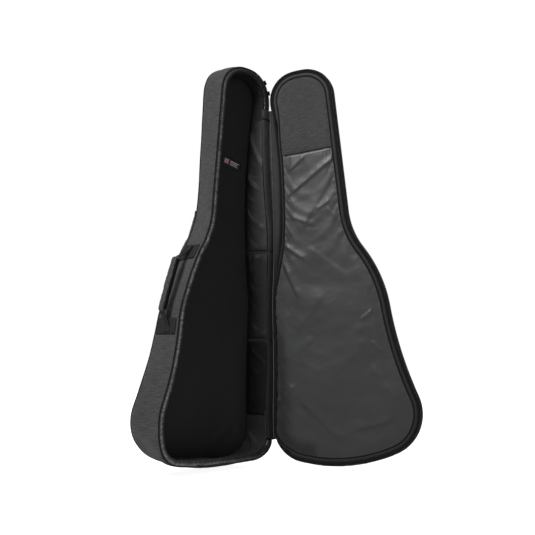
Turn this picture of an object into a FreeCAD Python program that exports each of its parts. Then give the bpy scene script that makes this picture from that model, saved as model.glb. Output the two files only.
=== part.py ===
import FreeCAD, Part
import Sketcher
import math
import os

# Padded gig bag for an acoustic guitar, standing open.
#
# Bag frame: u across, y into the tray, v up the bag's centre line.  The rim of the tray and the
# inside face of the closed lid meet on the plane y = 0.  The outline is one closed chain of
# tangent arcs and a single straight run on the free side of the neck (u < 0), so every layer of
# the bag is the same chain with another inset.  The hinge side (u > 0) touches a straight hinge
# line at the head and at the lower bout.
#
# Hinge frame: x = 0 on the hinge line and negative across the tray, +Z up along the hinge line,
# +Y from the opening towards the back of the tray, z = 0 at the lowest point.  The bag frame is
# turned about Y by the tilt that makes the hinge line vertical, and the lid is then turned about
# the hinge line by the opening angle.

App = FreeCAD
V = App.Vector
doc = App.newDocument("gig_bag")
sheet = doc.addObject("Spreadsheet::Sheet", "Sheet")
dim = {}
pieces = []

# ---- driving dimensions (mm, degrees): alias, value, note ------------------------------------
DIMENSIONS = [
    ("bag_length", 1090.0, "outside length along the centre line"),
    ("bottom_radius", 434.0, "end of the lower bout"),
    ("lower_half_width", 206.0, "free side"),
    ("lower_corner_radius", 115.0, ""),
    ("lower_half_width_hinge", 208.0, ""),
    ("lower_corner_radius_hinge", 95.0, ""),
    ("upper_half_width", 160.0, "free side"),
    ("upper_height", 394.2, ""),
    ("upper_radius", 363.6, ""),
    ("waist_radius", 990.8, ""),
    ("neck_taper", -1.2147, "neck side against the centre line"),
    ("head_half_width", 89.4, "at head_height"),
    ("head_height", 950.0, "where the head's half width is taken"),
    ("shoulder_radius", 200.4, ""),
    ("head_corner_radius", 78.9, ""),
    ("head_top_radius", 231.1, ""),
    ("upper_half_width_hinge", 163.4, ""),
    ("upper_height_hinge", 440.1, ""),
    ("upper_radius_hinge", 154.7, ""),
    ("waist_radius_hinge", 3240.0, ""),
    ("shoulder_radius_hinge", 1709.0, ""),
    ("fabric_thick", 1.5, ""),
    ("foam_thick", 13.0, ""),
    ("lining_thick", 1.5, ""),
    ("depth_low", 112.0, "tray depth at the bottom"),
    ("depth_slope", 0.0459, "loss of depth per mm up the bag"),
    ("back_binding_wide", 3.0, "across and deep"),
    ("rim_start", 5.0, ""),
    ("rim_binding_start", 1.0, ""),
    ("rim_binding_inset", 3.6, ""),
    ("rim_binding_over", 0.8, "past the lining"),
    ("tape_start", 3.5, "from the plane y = 0, tray and lid"),
    ("tape_end", 12.0, "black zipper tape shows down to here"),
    ("lid_tape_end", 5.0, "from the plane y = 0"),
    ("lid_tape_wide", 9.0, ""),
    ("coil_start", 0.6, "zipper teeth, from the plane y = 0"),
    ("coil_end", 3.4, ""),
    ("coil_wide", 3.2, ""),
    ("strip_start", 0.7, "hinge strip, from the plane y = 0"),
    ("strip_end", 1.9, ""),
    ("strip_inset", 3.4, "overlap of the strip inside the outline"),
    ("cord_radius", 1.8, ""),
    ("side_pad_thick", 4.0, ""),
    ("lid_thick", 21.0, ""),
    ("flange_inset", 18.0, "inner edge of the lid flange"),
    ("lid_binding_inset", 22.0, "inner edge of the lid binding"),
    ("lid_binding_face", 2.6, "from the plane y = 0"),
    ("head_pad_face", 3.0, "from the plane y = 0"),
    ("open_angle", 116.5, "lid opening in the modelled pose"),
    ("zip_low", 66.0, "height of the lower end of the hinge"),
    ("zip_high", 978.0, "height of the upper end of the hinge"),
    ("seam_one", 132.0, ""),
    ("seam_two", 340.0, ""),
    ("seam_three", 583.0, ""),
    ("seam_four", 951.0, ""),
    ("seam_gap", 3.0, ""),
    ("patch_thick", 2.0, ""),
    ("patch_height", 40.0, ""),
    ("handle_low", 360.0, "height of the lower handle anchor"),
    ("handle_high", 564.0, ""),
    ("handle_y", 42.0, ""),
    ("pivot_out", 9.0, "handle pivot outside the gusset"),
    ("roll_radius", 3.4, "rolled webbing on the pivot line"),
    ("grip_out", 27.0, ""),
    ("grip_length", 150.0, ""),
    ("grip_wide", 22.0, ""),
    ("grip_thick", 15.0, ""),
    ("grip_round", 5.0, ""),
    ("strap_wide", 16.0, "handle webbing"),
    ("pocket_inset", 44.0, ""),
    ("pocket_top", 560.0, ""),
    ("pocket_deep", 20.5, ""),
    ("pocket_slider_u", 40.0, ""),
    ("head_seam", 862.0, "lower edge of the head pad on the lid"),
    ("slider_long", 13.0, "pocket slider"),
    ("slider_high", 5.0, ""),
    ("pin_radius", 1.0, ""),
    ("pin_clear", 0.06, ""),
    ("pull_long", 34.0, ""),
    ("pull_wide", 9.0, ""),
    ("slider_angle_top", 45.0, "along the head corner arc"),
    ("slider_angle_low", 23.0, "along the head corner arc, near the end of the zipper"),
    ("pad_wide", 52.0, ""),
    ("strap_top_x", 30.0, ""),
    ("strap_top_z", 672.0, ""),
    ("strap_low_x", 146.0, ""),
    ("strap_low_z", 150.0, ""),
    ("pad_thick", 11.0, ""),
    ("loop_wide", 25.0, ""),
    ("origin_x", 104.2315, "foot of the hinge line"),
    ("origin_y", 127.448, ""),
    ("origin_z", 0.0, ""),
]


def add_cell(alias, value, note=""):
    """Writes a value to the sheet and to dim, rounded alike."""
    row = len(dim) + 1
    dim[alias] = round(float(value), 6)
    sheet.set("A%d" % row, alias)
    sheet.set("B%d" % row, repr(dim[alias]))
    if note:
        sheet.set("C%d" % row, note)
    sheet.setAlias("B%d" % row, alias)


for entry in DIMENSIONS:
    add_cell(*entry)

FABRIC = dim["fabric_thick"]
PADDED = FABRIC + dim["foam_thick"]
WALL = PADDED + dim["lining_thick"]
BOTTOM_R = dim["bottom_radius"]
HEAD_R = dim["head_corner_radius"]


# ---- outline: centres of the arcs, in the bag frame ------------------------------------------
def direction(start, end):
    """Unit vector from start to end."""
    du, dv = end[0] - start[0], end[1] - start[1]
    length = math.hypot(du, dv)
    return (du / length, dv / length)


def mirrored(point):
    return (-point[0], point[1])


def circles_meet(a, a_radius, b, b_radius):
    """Meeting point, on the right of A to B, of the circles about A and B."""
    du, dv = b[0] - a[0], b[1] - a[1]
    gap = math.hypot(du, dv)
    along = (a_radius**2 - b_radius**2 + gap**2) / (2 * gap)
    aside = math.sqrt(max(a_radius**2 - along**2, 0.0))
    return (
        a[0] + along * du / gap + aside * dv / gap,
        a[1] + along * dv / gap - aside * du / gap,
    )


def neck_parallel_meets(offset, centre, radius):
    """Upper meeting point of a circle and the neck's parallel at offset from the bag origin."""
    base = (neck_normal[0] * offset, neck_normal[1] * offset)
    du, dv = base[0] - centre[0], base[1] - centre[1]
    half_b = du * neck_along[0] + dv * neck_along[1]
    travel = -half_b + math.sqrt(half_b**2 - (du**2 + dv**2 - radius**2))
    return (base[0] + neck_along[0] * travel, base[1] + neck_along[1] * travel)


def lower_corner(half_width, radius):
    """Centre of the lower corner arc, tangent to the bottom arc from inside."""
    u = half_width - radius
    return (u, BOTTOM_R - math.sqrt((BOTTOM_R - radius) ** 2 - u**2))


def bout_side(suffix):
    """Radii and centres of the corner, waist and upper arcs, drawn on the side u > 0."""
    corner_r = dim["lower_corner_radius" + suffix]
    waist_r = dim["waist_radius" + suffix]
    upper_r = dim["upper_radius" + suffix]
    corner = lower_corner(dim["lower_half_width" + suffix], corner_r)
    upper = (dim["upper_half_width" + suffix] - upper_r, dim["upper_height" + suffix])
    waist = circles_meet(corner, corner_r + waist_r, upper, waist_r + upper_r)
    return corner_r, waist_r, upper_r, corner, waist, upper


taper = math.radians(dim["neck_taper"])
neck_normal = (math.cos(taper), math.sin(taper))
neck_along = (-neck_normal[1], neck_normal[0])
neck_offset = neck_normal[0] * dim["head_half_width"] + neck_normal[1] * dim["head_height"]

bottom = (0.0, BOTTOM_R)
top_r = dim["head_top_radius"]
top = (0.0, dim["bag_length"] - top_r)
head = neck_parallel_meets(neck_offset - HEAD_R, top, top_r - HEAD_R)

corner_r, waist_r, upper_r, corner, waist, upper = bout_side("")
shoulder_r = dim["shoulder_radius"]
shoulder = neck_parallel_meets(neck_offset + shoulder_r, upper, upper_r + shoulder_r)

corner_rh, waist_rh, upper_rh, corner_h, waist_h, upper_h = bout_side("_hinge")
shoulder_rh = dim["shoulder_radius_hinge"]
shoulder_h = circles_meet(upper_h, upper_rh + shoulder_rh, head, HEAD_R + shoulder_rh)

# outward normals where two curves join; the free side's are mirrored to u < 0
bottom_corner = mirrored(direction(bottom, corner))
corner_waist = mirrored(direction(corner, waist))
waist_upper = mirrored(direction(upper, waist))
upper_shoulder = mirrored(direction(upper, shoulder))
neck_out = mirrored(neck_normal)
head_top = direction(top, head)
bottom_corner_h = direction(bottom, corner_h)
corner_waist_h = direction(corner_h, waist_h)
waist_upper_h = direction(upper_h, waist_h)
upper_shoulder_h = direction(upper_h, shoulder_h)
shoulder_head_h = direction(head, shoulder_h)

# Counter-clockwise chain: centre, radius, convex, normal at the start, normal at the end.
# Names ending in _h are on the hinge side, in _f on the free side.
OUTLINE = {
    "bottom": (bottom, BOTTOM_R, True, bottom_corner, bottom_corner_h),
    "corner_h": (corner_h, corner_rh, True, bottom_corner_h, corner_waist_h),
    "waist_h": (waist_h, waist_rh, False, corner_waist_h, waist_upper_h),
    "upper_h": (upper_h, upper_rh, True, waist_upper_h, upper_shoulder_h),
    "shoulder_h": (shoulder_h, shoulder_rh, False, upper_shoulder_h, shoulder_head_h),
    "head_h": (head, HEAD_R, True, shoulder_head_h, head_top),
    "top": (top, top_r, True, head_top, mirrored(head_top)),
    "head_f": (mirrored(head), HEAD_R, True, mirrored(head_top), neck_out),
    "neck": (None, 0.0, True, neck_out, neck_out),
    "shoulder_f": (mirrored(shoulder), shoulder_r, False, neck_out, upper_shoulder),
    "upper_f": (mirrored(upper), upper_r, True, upper_shoulder, waist_upper),
    "waist_f": (mirrored(waist), waist_r, False, waist_upper, corner_waist),
    "corner_f": (mirrored(corner), corner_r, True, corner_waist, bottom_corner),
}
for name, (centre, *_) in OUTLINE.items():
    if centre is not None:
        add_cell("cx_" + name, centre[0])
        add_cell("cz_" + name, centre[1])

# ---- frames ----------------------------------------------------------------------------------
# tilt that makes the common tangent of the head corner and the lower corner vertical
head_du, head_dv = head[0] - corner_h[0], head[1] - corner_h[1]
tilt = math.atan2(head_dv, head_du) - math.acos(
    (corner_rh - HEAD_R) / math.hypot(head_du, head_dv)
)
cos_tilt, sin_tilt = math.cos(tilt), math.sin(tilt)
hinge_shift = corner_h[0] * cos_tilt + corner_h[1] * sin_tilt + corner_rh
# lowest point of the tilted outline
floor_shift = bottom[1] * cos_tilt - BOTTOM_R
add_cell("tilt_angle", math.degrees(tilt))
add_cell("hinge_shift", hinge_shift)
add_cell("floor_shift", floor_shift)

X_AXIS, Y_AXIS, Z_AXIS = V(1, 0, 0), V(0, 1, 0), V(0, 0, 1)
ORIGIN = V(dim["origin_x"], dim["origin_y"], dim["origin_z"])
BAG = App.Placement(V(-hinge_shift, 0, -floor_shift), App.Rotation(Y_AXIS, dim["tilt_angle"]))
TRAY = App.Placement(ORIGIN, App.Rotation()).multiply(BAG)
LID = App.Placement(ORIGIN, App.Rotation(Z_AXIS, dim["open_angle"])).multiply(BAG)
# bag frame leaned so that y = 0 is the outer face of the tapered back
back_lean = math.degrees(math.atan(dim["depth_slope"]))
BACK = TRAY.multiply(App.Placement(V(0, dim["depth_low"], 0), App.Rotation(X_AXIS, back_lean)))


def hinge_to_bag(x, z):
    """A hinge-frame point of the rim plane in bag coordinates."""
    x, z = x + hinge_shift, z + floor_shift
    return (x * cos_tilt - z * sin_tilt, x * sin_tilt + z * cos_tilt)


def axes_frame(origin, x_axis, z_axis):
    y_axis = z_axis.cross(x_axis)
    return App.Placement(
        App.Matrix(
            x_axis.x, y_axis.x, z_axis.x, origin.x,
            x_axis.y, y_axis.y, z_axis.y, origin.y,
            x_axis.z, y_axis.z, z_axis.z, origin.z,
            0, 0, 0, 1,
        )
    )


def inset_radius(radius, convex, inset):
    return radius - inset if convex else radius + inset


def side_u(suffix, v, inset=0.0):
    """u of the outline at height v, between the lower corner and the head or neck."""
    side = 1.0 if suffix == "_h" else -1.0
    for name in ("waist", "upper", "shoulder"):
        centre, radius, convex, start, end = OUTLINE[name + suffix]
        radius = inset_radius(radius, convex, inset)
        bulge = 1.0 if convex else -1.0
        height = v - centre[1]
        low, high = sorted((start[1], end[1]))
        if abs(height) < radius and low - 1e-9 <= bulge * height / radius <= high + 1e-9:
            return centre[0] + side * bulge * math.sqrt(radius**2 - height**2)
    raise ValueError("no side arc at height %g" % v)


# ---- sketch and feature helpers --------------------------------------------------------------
# limits of the cuts, clear of the bag
LOW_END, HIGH_END = -60.0, 1200.0
FAR_SIDE = 400.0
HINGE_FRAME_LEFT, HINGE_FRAME_RIGHT = -500.0, 30.0
PAST_BACK = 130.0
# hinge frame x that parts the hinge side of a ring from the rest
HINGE_SIDE = -75.0


def keep(obj, label, placement):
    """Builds a piece, places it and lists it for export."""
    doc.recompute()
    obj.Label = label
    obj.Placement = placement.multiply(obj.Placement)
    pieces.append(obj)


def new_body(name):
    return doc.addObject("PartDesign::Body", name)


def new_sketch(body, role, offset=0.0):
    sketch = body.newObject("Sketcher::SketchObject", "Sketch")
    plane = [o for o in body.Origin.OriginFeatures if o.Role == role][0]
    sketch.AttachmentSupport = (plane, [""])
    sketch.MapMode = "FlatFace"
    sketch.AttachmentOffset = App.Placement(V(0, 0, offset), App.Rotation())
    return sketch


def constrain(sketch, expression, *constraint):
    index = sketch.addConstraint(Sketcher.Constraint(*constraint))
    sketch.setExpression("Constraints[%d]" % index, expression)


def sum_of(*parts):
    """Value and sheet expression of a sum of dimensions, each given by its alias."""
    return sum(dim[part] for part in parts), " + ".join("Sheet." + part for part in parts)


# insets of the outline: value, expression
OUTSIDE = (0.0, "0")
IN_FABRIC = sum_of("fabric_thick")
IN_FOAM = sum_of("fabric_thick", "foam_thick")
WALL_PARTS = ("fabric_thick", "foam_thick", "lining_thick")
IN_WALL = sum_of(*WALL_PARTS)


def neck_line(inset):
    above, above_r = OUTLINE["head_f"][:2]
    below, below_r = OUTLINE["shoulder_f"][:2]
    above_r, below_r = above_r - inset, below_r + inset
    return Part.LineSegment(
        V(above[0] + above_r * neck_out[0], above[1] + above_r * neck_out[1], 0),
        V(below[0] - below_r * neck_out[0], below[1] - below_r * neck_out[1], 0),
    )


def outline_arc(centre, radius, convex, start, end, inset):
    bulge = 1.0 if convex else -1.0
    first = math.atan2(bulge * start[1], bulge * start[0])
    last = math.atan2(bulge * end[1], bulge * end[0])
    if not convex:
        first, last = last, first
    while last <= first:
        last += 2 * math.pi
    circle = Part.Circle(V(*centre, 0), Z_AXIS, inset_radius(radius, convex, inset))
    return Part.ArcOfCircle(circle, first, last)


def outline_loop(sketch, inset):
    """Adds the whole outline, moved inwards, as a constrained chain of tangent curves."""
    amount, expression = inset
    curves, ends = [], []
    for arc in OUTLINE.values():
        curves.append(neck_line(amount) if arc[0] is None else outline_arc(*arc, amount))
        # a concave arc runs against the chain
        ends.append((1, 2) if arc[2] else (2, 1))
    ids = [sketch.addGeometry(curve, False) for curve in curves]
    for i, (name, arc) in zip(ids, OUTLINE.items()):
        if arc[0] is not None:
            constrain(sketch, "Sheet.cx_" + name, "DistanceX", i, 3, arc[0][0])
            constrain(sketch, "Sheet.cz_" + name, "DistanceY", i, 3, arc[0][1])
    for k in range(len(ids)):
        m = (k + 1) % len(ids)
        sketch.addConstraint(
            Sketcher.Constraint("Tangent", ids[k], ends[k][1], ids[m], ends[m][0])
        )
    radius_expression = "Sheet.bottom_radius - (%s)" % expression
    constrain(sketch, radius_expression, "Radius", ids[0], BOTTOM_R - amount)


def corners(x0, x1, z0, z1):
    return [(x0, z0), (x1, z0), (x1, z1), (x0, z1)]


def polygon(sketch, points):
    n = len(points)
    ids = []
    for i in range(n):
        line = Part.LineSegment(V(*points[i], 0), V(*points[(i + 1) % n], 0))
        ids.append(sketch.addGeometry(line, False))
    for i in range(n):
        sketch.addConstraint(Sketcher.Constraint("Coincident", ids[i], 2, ids[(i + 1) % n], 1))
        sketch.addConstraint(Sketcher.Constraint("DistanceX", ids[i], 1, points[i][0]))
        sketch.addConstraint(Sketcher.Constraint("DistanceY", ids[i], 1, points[i][1]))


def add_pad(body, sketch, length, way=None, expression=None):
    """way is None, "Reversed" or "Midplane"."""
    pad = body.newObject("PartDesign::Pad", "Pad")
    pad.Profile = sketch
    if way:
        setattr(pad, way, True)
    pad.Length = length
    if expression:
        pad.setExpression("Length", expression)
    return pad


def prism(name, role, offset, points, length, way=None, expression=None):
    body = new_body(name)
    sketch = new_sketch(body, role, offset)
    polygon(sketch, points)
    add_pad(body, sketch, length, way, expression)
    return body


def layer(name, outer, inner, y0, y1, expression=None):
    """A plate (inner is None) or a ring of the outline between the planes y0 and y1."""
    body = new_body(name)
    sketch = new_sketch(body, "XZ_Plane", -y0)
    outline_loop(sketch, outer)
    if inner is not None:
        outline_loop(sketch, inner)
    add_pad(body, sketch, y1 - y0, "Reversed", expression)
    return body


def pocket_through(body, sketch):
    pocket = body.newObject("PartDesign::Pocket", "Pocket")
    pocket.Profile = sketch
    pocket.Type = "ThroughAll"
    pocket.Midplane = True


def cut_through(body, role, *loops):
    sketch = new_sketch(body, role)
    for points in loops:
        polygon(sketch, points)
    pocket_through(body, sketch)


def cut_bag(body, u0, u1, v0, v1):
    """Cuts away a rectangle of the bag frame."""
    cut_through(body, "XZ_Plane", corners(u0, u1, v0, v1))


def hinge_quad(x0, x1, z0, z1):
    return [hinge_to_bag(x, z) for x, z in corners(x0, x1, z0, z1)]


def cut_hinge(body, x0, x1, z0, z1):
    """Cuts away a rectangle of the hinge frame."""
    cut_through(body, "XZ_Plane", hinge_quad(x0, x1, z0, z1))


def cut_off_hinge_side(body):
    cut_hinge(body, HINGE_SIDE, HINGE_FRAME_RIGHT, dim["zip_low"], dim["zip_high"])


def keep_hinge_side(body, *removed):
    """Leaves the hinge side of a ring, less the removed ranges of height."""
    cut_hinge(body, HINGE_FRAME_LEFT, HINGE_SIDE, LOW_END, HIGH_END)
    for z0, z1 in removed:
        cut_hinge(body, HINGE_SIDE - 15, HINGE_FRAME_RIGHT, z0, z1)


def back_y(v, forward):
    return dim["depth_low"] - forward - dim["depth_slope"] * v


def cut_back(body, forward):
    """Removes everything deeper than the tapered back plane moved forwards."""
    low, high = (back_y(LOW_END, forward), LOW_END), (back_y(HIGH_END, forward), HIGH_END)
    cut_through(body, "YZ_Plane", [low, (FAR_SIDE, LOW_END), (FAR_SIDE, HIGH_END), high])


def cut_front(body, forward):
    """Removes everything in front of the tapered back plane moved forwards."""
    low, high = (back_y(LOW_END, forward), LOW_END), (back_y(HIGH_END, forward), HIGH_END)
    cut_through(body, "YZ_Plane", [(-60, LOW_END), low, high, (-60, HIGH_END)])


def box(name, x0, x1, y0, y1, z0, z1):
    obj = doc.addObject("Part::Box", name)
    obj.Length, obj.Width, obj.Height = x1 - x0, y1 - y0, z1 - z0
    obj.Placement = App.Placement(V(x0, y0, z0), App.Rotation())
    return obj


def cylinder(name, radius, height, base, along_y=False):
    obj = doc.addObject("Part::Cylinder", name)
    obj.Radius, obj.Height = radius, height
    obj.Placement = App.Placement(V(*base), App.Rotation(X_AXIS, -90 if along_y else 0))
    return obj


def fuse(name, *objects):
    obj = doc.addObject("Part::MultiFuse", name)
    obj.Shapes = list(objects)
    return obj


def cut(name, base, tool):
    obj = doc.addObject("Part::Cut", name)
    obj.Base, obj.Tool = base, tool
    return obj


# ---- zipper and hinge parts shared by tray and lid -------------------------------------------
def zipper_tapes(half, inner, y0, y1, frame, expression=None):
    """Tape that carries the teeth, and the tape beside the hinge."""
    label = half + "_zipper_tape"
    body = layer(label, OUTSIDE, inner, y0, y1, expression)
    cut_off_hinge_side(body)
    keep(body, label, frame)

    label = half + "_hinge_tape"
    overlap = 0.5
    body = layer(label, OUTSIDE, inner, y0, y1, expression)
    above = (dim["zip_high"] - overlap, HIGH_END)
    below = (LOW_END, dim["zip_low"] + overlap)
    keep_hinge_side(body, above, below)
    keep(body, label, frame)


def zipper_teeth(half, y0, y1, frame):
    label = half + "_zipper_teeth"
    body = layer(label, OUTSIDE, sum_of("coil_wide"), y0, y1)
    cut_off_hinge_side(body)
    keep(body, label, frame)


def hinge_strip(half, y0, y1, frame):
    """Flat strip from the rim to just short of the hinge cord."""
    label = "hinge_strip_" + half
    points = hinge_quad(-40, -2.6, dim["zip_low"] + 2, dim["zip_high"] - 2)
    body = prism(label, "XZ_Plane", -y0, points, y1 - y0, "Reversed")
    sketch = new_sketch(body, "XZ_Plane")
    outline_loop(sketch, sum_of("strip_inset"))
    pocket_through(body, sketch)
    keep(body, label, frame)


# ================================ TRAY ========================================================
def build_tray_walls():
    # label, outer and inner inset, front plane, distance of the back end from the back plane
    for label, outer, inner, y0, forward in (
        ("gusset_outer_fabric", OUTSIDE, IN_FABRIC, dim["tape_end"], FABRIC),
        ("gusset_foam", IN_FABRIC, IN_FOAM, dim["rim_start"], FABRIC),
        ("gusset_lining", IN_FOAM, IN_WALL, dim["rim_start"], WALL),
    ):
        body = layer(label, outer, inner, y0, PAST_BACK)
        cut_back(body, forward)
        keep(body, label, TRAY)

    # label, outer and inner inset, distances of the back and front faces from the back plane
    binding = dim["back_binding_wide"]
    in_binding = sum_of(*WALL_PARTS, "back_binding_wide")
    for label, outer, inner, back, front in (
        ("back_outer_fabric", OUTSIDE, None, 0.0, FABRIC),
        ("back_foam", IN_FOAM, None, FABRIC, PADDED),
        ("back_lining", IN_FOAM, None, PADDED, WALL),
        ("back_seam_binding", IN_WALL, in_binding, WALL, WALL + binding),
    ):
        body = layer(label, outer, inner, 30.0, PAST_BACK)
        cut_back(body, back)
        cut_front(body, front)
        keep(body, label, TRAY)


def build_tray_rim():
    body = layer(
        "rim_binding",
        sum_of("rim_binding_inset"),
        sum_of(*WALL_PARTS, "rim_binding_over"),
        dim["rim_binding_start"],
        dim["rim_start"],
        "Sheet.rim_start - Sheet.rim_binding_start",
    )
    keep(body, "rim_binding", TRAY)
    length = "Sheet.tape_end - Sheet.tape_start"
    zipper_tapes("tray", IN_FABRIC, dim["tape_start"], dim["tape_end"], TRAY, length)
    zipper_teeth("tray", dim["coil_start"], dim["coil_end"], TRAY)
    hinge_strip("tray", dim["strip_start"], dim["strip_end"], TRAY)

    cord = doc.addObject("Part::Cylinder", "hinge_cord")
    cord.setExpression("Radius", "Sheet.cord_radius")
    cord.setExpression("Height", "Sheet.zip_high - Sheet.zip_low - 4")
    foot = ORIGIN.add(V(0, 0, dim["zip_low"] + 2))
    keep(cord, "hinge_cord", App.Placement(foot, App.Rotation()))


def build_side_pads():
    """Quilted pads that line the hinge-side wall between the cross seams."""
    gap = dim["seam_gap"] / 2
    for label, low_seam, high_seam in (
        ("side_pad_lower", "seam_one", "seam_two"),
        ("side_pad_middle", "seam_two", "seam_three"),
        ("side_pad_upper", "seam_three", "seam_four"),
    ):
        in_pad = sum_of(*WALL_PARTS, "side_pad_thick")
        body = layer(label, IN_WALL, in_pad, dim["rim_start"] + 1.5, PAST_BACK)
        cut_back(body, WALL + 3.5)
        below = (LOW_END, dim[low_seam] + gap)
        above = (dim[high_seam] - gap, HIGH_END)
        keep_hinge_side(body, below, above)
        keep(body, label, TRAY)


def build_care_label():
    """Woven label on the back lining, its end nearer the hinge hanging lower."""
    slant = 15.0
    label = box("care_label", 0, 72.0, 0, 0.8, 0, 24.0)
    u, v = hinge_to_bag(-133.0, 824.0)
    turn = App.Rotation(Y_AXIS, slant - dim["tilt_angle"])
    keep(label, "care_label", BACK.multiply(App.Placement(V(u, -WALL - 1.6, v), turn)))


# ---- carry handle ----------------------------------------------------------------------------
# handle frame: z along the chord from the lower anchor, x out of the bag, y towards the opening
handle_u = side_u("_f", dim["handle_low"])
handle_du = side_u("_f", dim["handle_high"]) - handle_u
handle_dv = dim["handle_high"] - dim["handle_low"]
chord = math.hypot(handle_du, handle_dv)
add_cell("handle_chord", chord)
handle_lean = App.Rotation(Y_AXIS, math.degrees(math.atan2(handle_du, handle_dv)))
HANDLE_IN_BAG = App.Placement(
    V(handle_u, dim["handle_y"], dim["handle_low"]),
    handle_lean.multiply(App.Rotation(Z_AXIS, 180)),
)
HANDLE = TRAY.multiply(HANDLE_IN_BAG)
PIVOT = dim["pivot_out"]
GRIP_OUT = dim["grip_out"]
STRAP_HALF = dim["strap_wide"] / 2
GRIP_LOW = chord / 2 - dim["grip_length"] / 2
GRIP_HIGH = chord / 2 + dim["grip_length"] / 2


def build_handle_patches():
    half = dim["patch_height"] / 2
    outer = (-dim["patch_thick"], "-Sheet.patch_thick")
    for label, middle in (
        ("handle_patch_lower", dim["handle_low"]),
        ("handle_patch_upper", dim["handle_high"]),
    ):
        body = layer(label, outer, OUTSIDE, dim["tape_end"] + 2.0, PAST_BACK)
        cut_back(body, 8.0)
        cut_bag(body, -60, FAR_SIDE, LOW_END, HIGH_END)
        cut_bag(body, -FAR_SIDE, -50, LOW_END, middle - half)
        cut_bag(body, -FAR_SIDE, -50, middle + half, HIGH_END)
        keep(body, label, TRAY)


def build_handle_anchors():
    # solid of the gusset and patches, used only as a cutting tool
    outer = (-dim["patch_thick"] - 0.05, "-Sheet.patch_thick - 0.05")
    tool = layer("outline_tool", outer, None, -10.0, 140.0)
    tool.Placement = HANDLE_IN_BAG.inverse()
    doc.recompute()
    for label, z0, z1 in (
        ("handle_anchor_lower", -12.0, 2.0),
        ("handle_anchor_upper", chord - 2.0, chord + 12.0),
    ):
        block = box(label + "_block", -12.0, PIVOT, -STRAP_HALF, STRAP_HALF, z0, z1)
        roll = cylinder(label + "_roll", dim["roll_radius"], z1 - z0, (PIVOT, 0, z0))
        keep(cut(label, fuse(label + "_fuse", block, roll), tool), label, HANDLE)


def build_handle_webbing():
    """Rolled ends on the pivot line, two legs, and the run inside the grip."""
    half = 1.5
    low, high = 3.0, chord - 3.0
    roll_long = 8.0
    points = [  # x, z
        (PIVOT - half, low),
        (PIVOT + 1.6, low),
        (GRIP_OUT + half, GRIP_LOW - 2.4),
        (GRIP_OUT + half, GRIP_HIGH + 2.4),
        (PIVOT + 1.6, high),
        (PIVOT - half, high),
        (PIVOT - half, high - 7),
        (GRIP_OUT - half, GRIP_HIGH + 0.4),
        (GRIP_OUT - half, GRIP_LOW - 0.4),
        (PIVOT - half, low + 7),
    ]
    run = prism(
        "handle_run", "XZ_Plane", 0.0, points, dim["strap_wide"], "Midplane", "Sheet.strap_wide"
    )
    # the legs narrow beside the pivot line
    end_half, clear = 3.9, 30.0
    cut_through(
        run,
        "XY_Plane",
        corners(-20.0, PIVOT + 7.0, end_half, clear),
        corners(-20.0, PIVOT + 7.0, -clear, -end_half),
    )
    rolls = [
        cylinder("handle_roll", dim["roll_radius"], roll_long, (PIVOT, 0, z))
        for z in (low, high - roll_long)
    ]
    keep(fuse("handle_webbing", run, *rolls), "handle_webbing", HANDLE)


def build_handle_grip():
    body = new_body("handle_grip")
    sketch = new_sketch(body, "XY_Plane", GRIP_LOW)
    thick, wide = dim["grip_thick"] / 2, dim["grip_wide"] / 2
    polygon(sketch, corners(GRIP_OUT - thick, GRIP_OUT + thick, -wide, wide))
    pad = add_pad(body, sketch, dim["grip_length"], expression="Sheet.grip_length")
    doc.recompute()

    fillet = body.newObject("PartDesign::Fillet", "Fillet")
    long_edges = [
        "Edge%d" % (i + 1)
        for i, edge in enumerate(pad.Shape.Edges)
        if abs(edge.Vertexes[0].Z - edge.Vertexes[1].Z) > 50
    ]
    fillet.Base = (pad, long_edges)
    fillet.Radius = dim["grip_round"]

    slot = new_sketch(body, "XY_Plane", GRIP_LOW)
    slot_half = STRAP_HALF + 0.4
    polygon(slot, corners(GRIP_OUT - 1.9, GRIP_OUT + 1.9, -slot_half, slot_half))
    pocket_through(body, slot)
    keep(body, "handle_grip", HANDLE)


# ---- zipper sliders --------------------------------------------------------------------------
def build_slider(label, pull_label, x0, x1, half, base, frame):
    """Slider and pull; x along the pull, y along the pull's pin, z out of the bag."""
    high = base + dim["slider_high"]
    lug_inner = 3.1
    pin_x, pin_z = x1 + 2.2, base + 2.6
    pin_r = dim["pin_radius"]

    plate = box(label + "_plate", x0, x1, -half, half, base, high)
    lugs = [
        box(label + "_lug", x1 - 1.0, x1 + 4.4, y0, y1, base + 0.2, high)
        for y0, y1 in ((lug_inner, half), (-half, -lug_inner))
    ]
    bore_at = (pin_x, -half - 2, pin_z)
    bore = cylinder(label + "_bore", pin_r + dim["pin_clear"], 2 * half + 4, bore_at, True)
    bore.setExpression("Radius", "Sheet.pin_radius + Sheet.pin_clear")
    keep(cut(label, fuse(label + "_fuse", plate, *lugs), bore), label, frame)

    pin_half = half - 0.1
    pin_at = (pin_x, -pin_half, pin_z)
    pin = cylinder(pull_label + "_pin", pin_r, 2 * pin_half, pin_at, True)
    pin.setExpression("Radius", "Sheet.pin_radius")
    neck = box(
        pull_label + "_neck", pin_x - 0.9, pin_x + 5.0, -2.6, 2.6, pin_z - 0.9, pin_z + 0.9
    )
    wide = dim["pull_wide"] / 2
    tab_end = pin_x + dim["pull_long"]
    tab = box(pull_label + "_tab", pin_x + 4.4, tab_end, -wide, wide, pin_z - 1.0, pin_z + 1.0)
    tab.setExpression("Width", "Sheet.pull_wide")
    keep(fuse(pull_label, pin, neck, tab), pull_label, frame)


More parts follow.
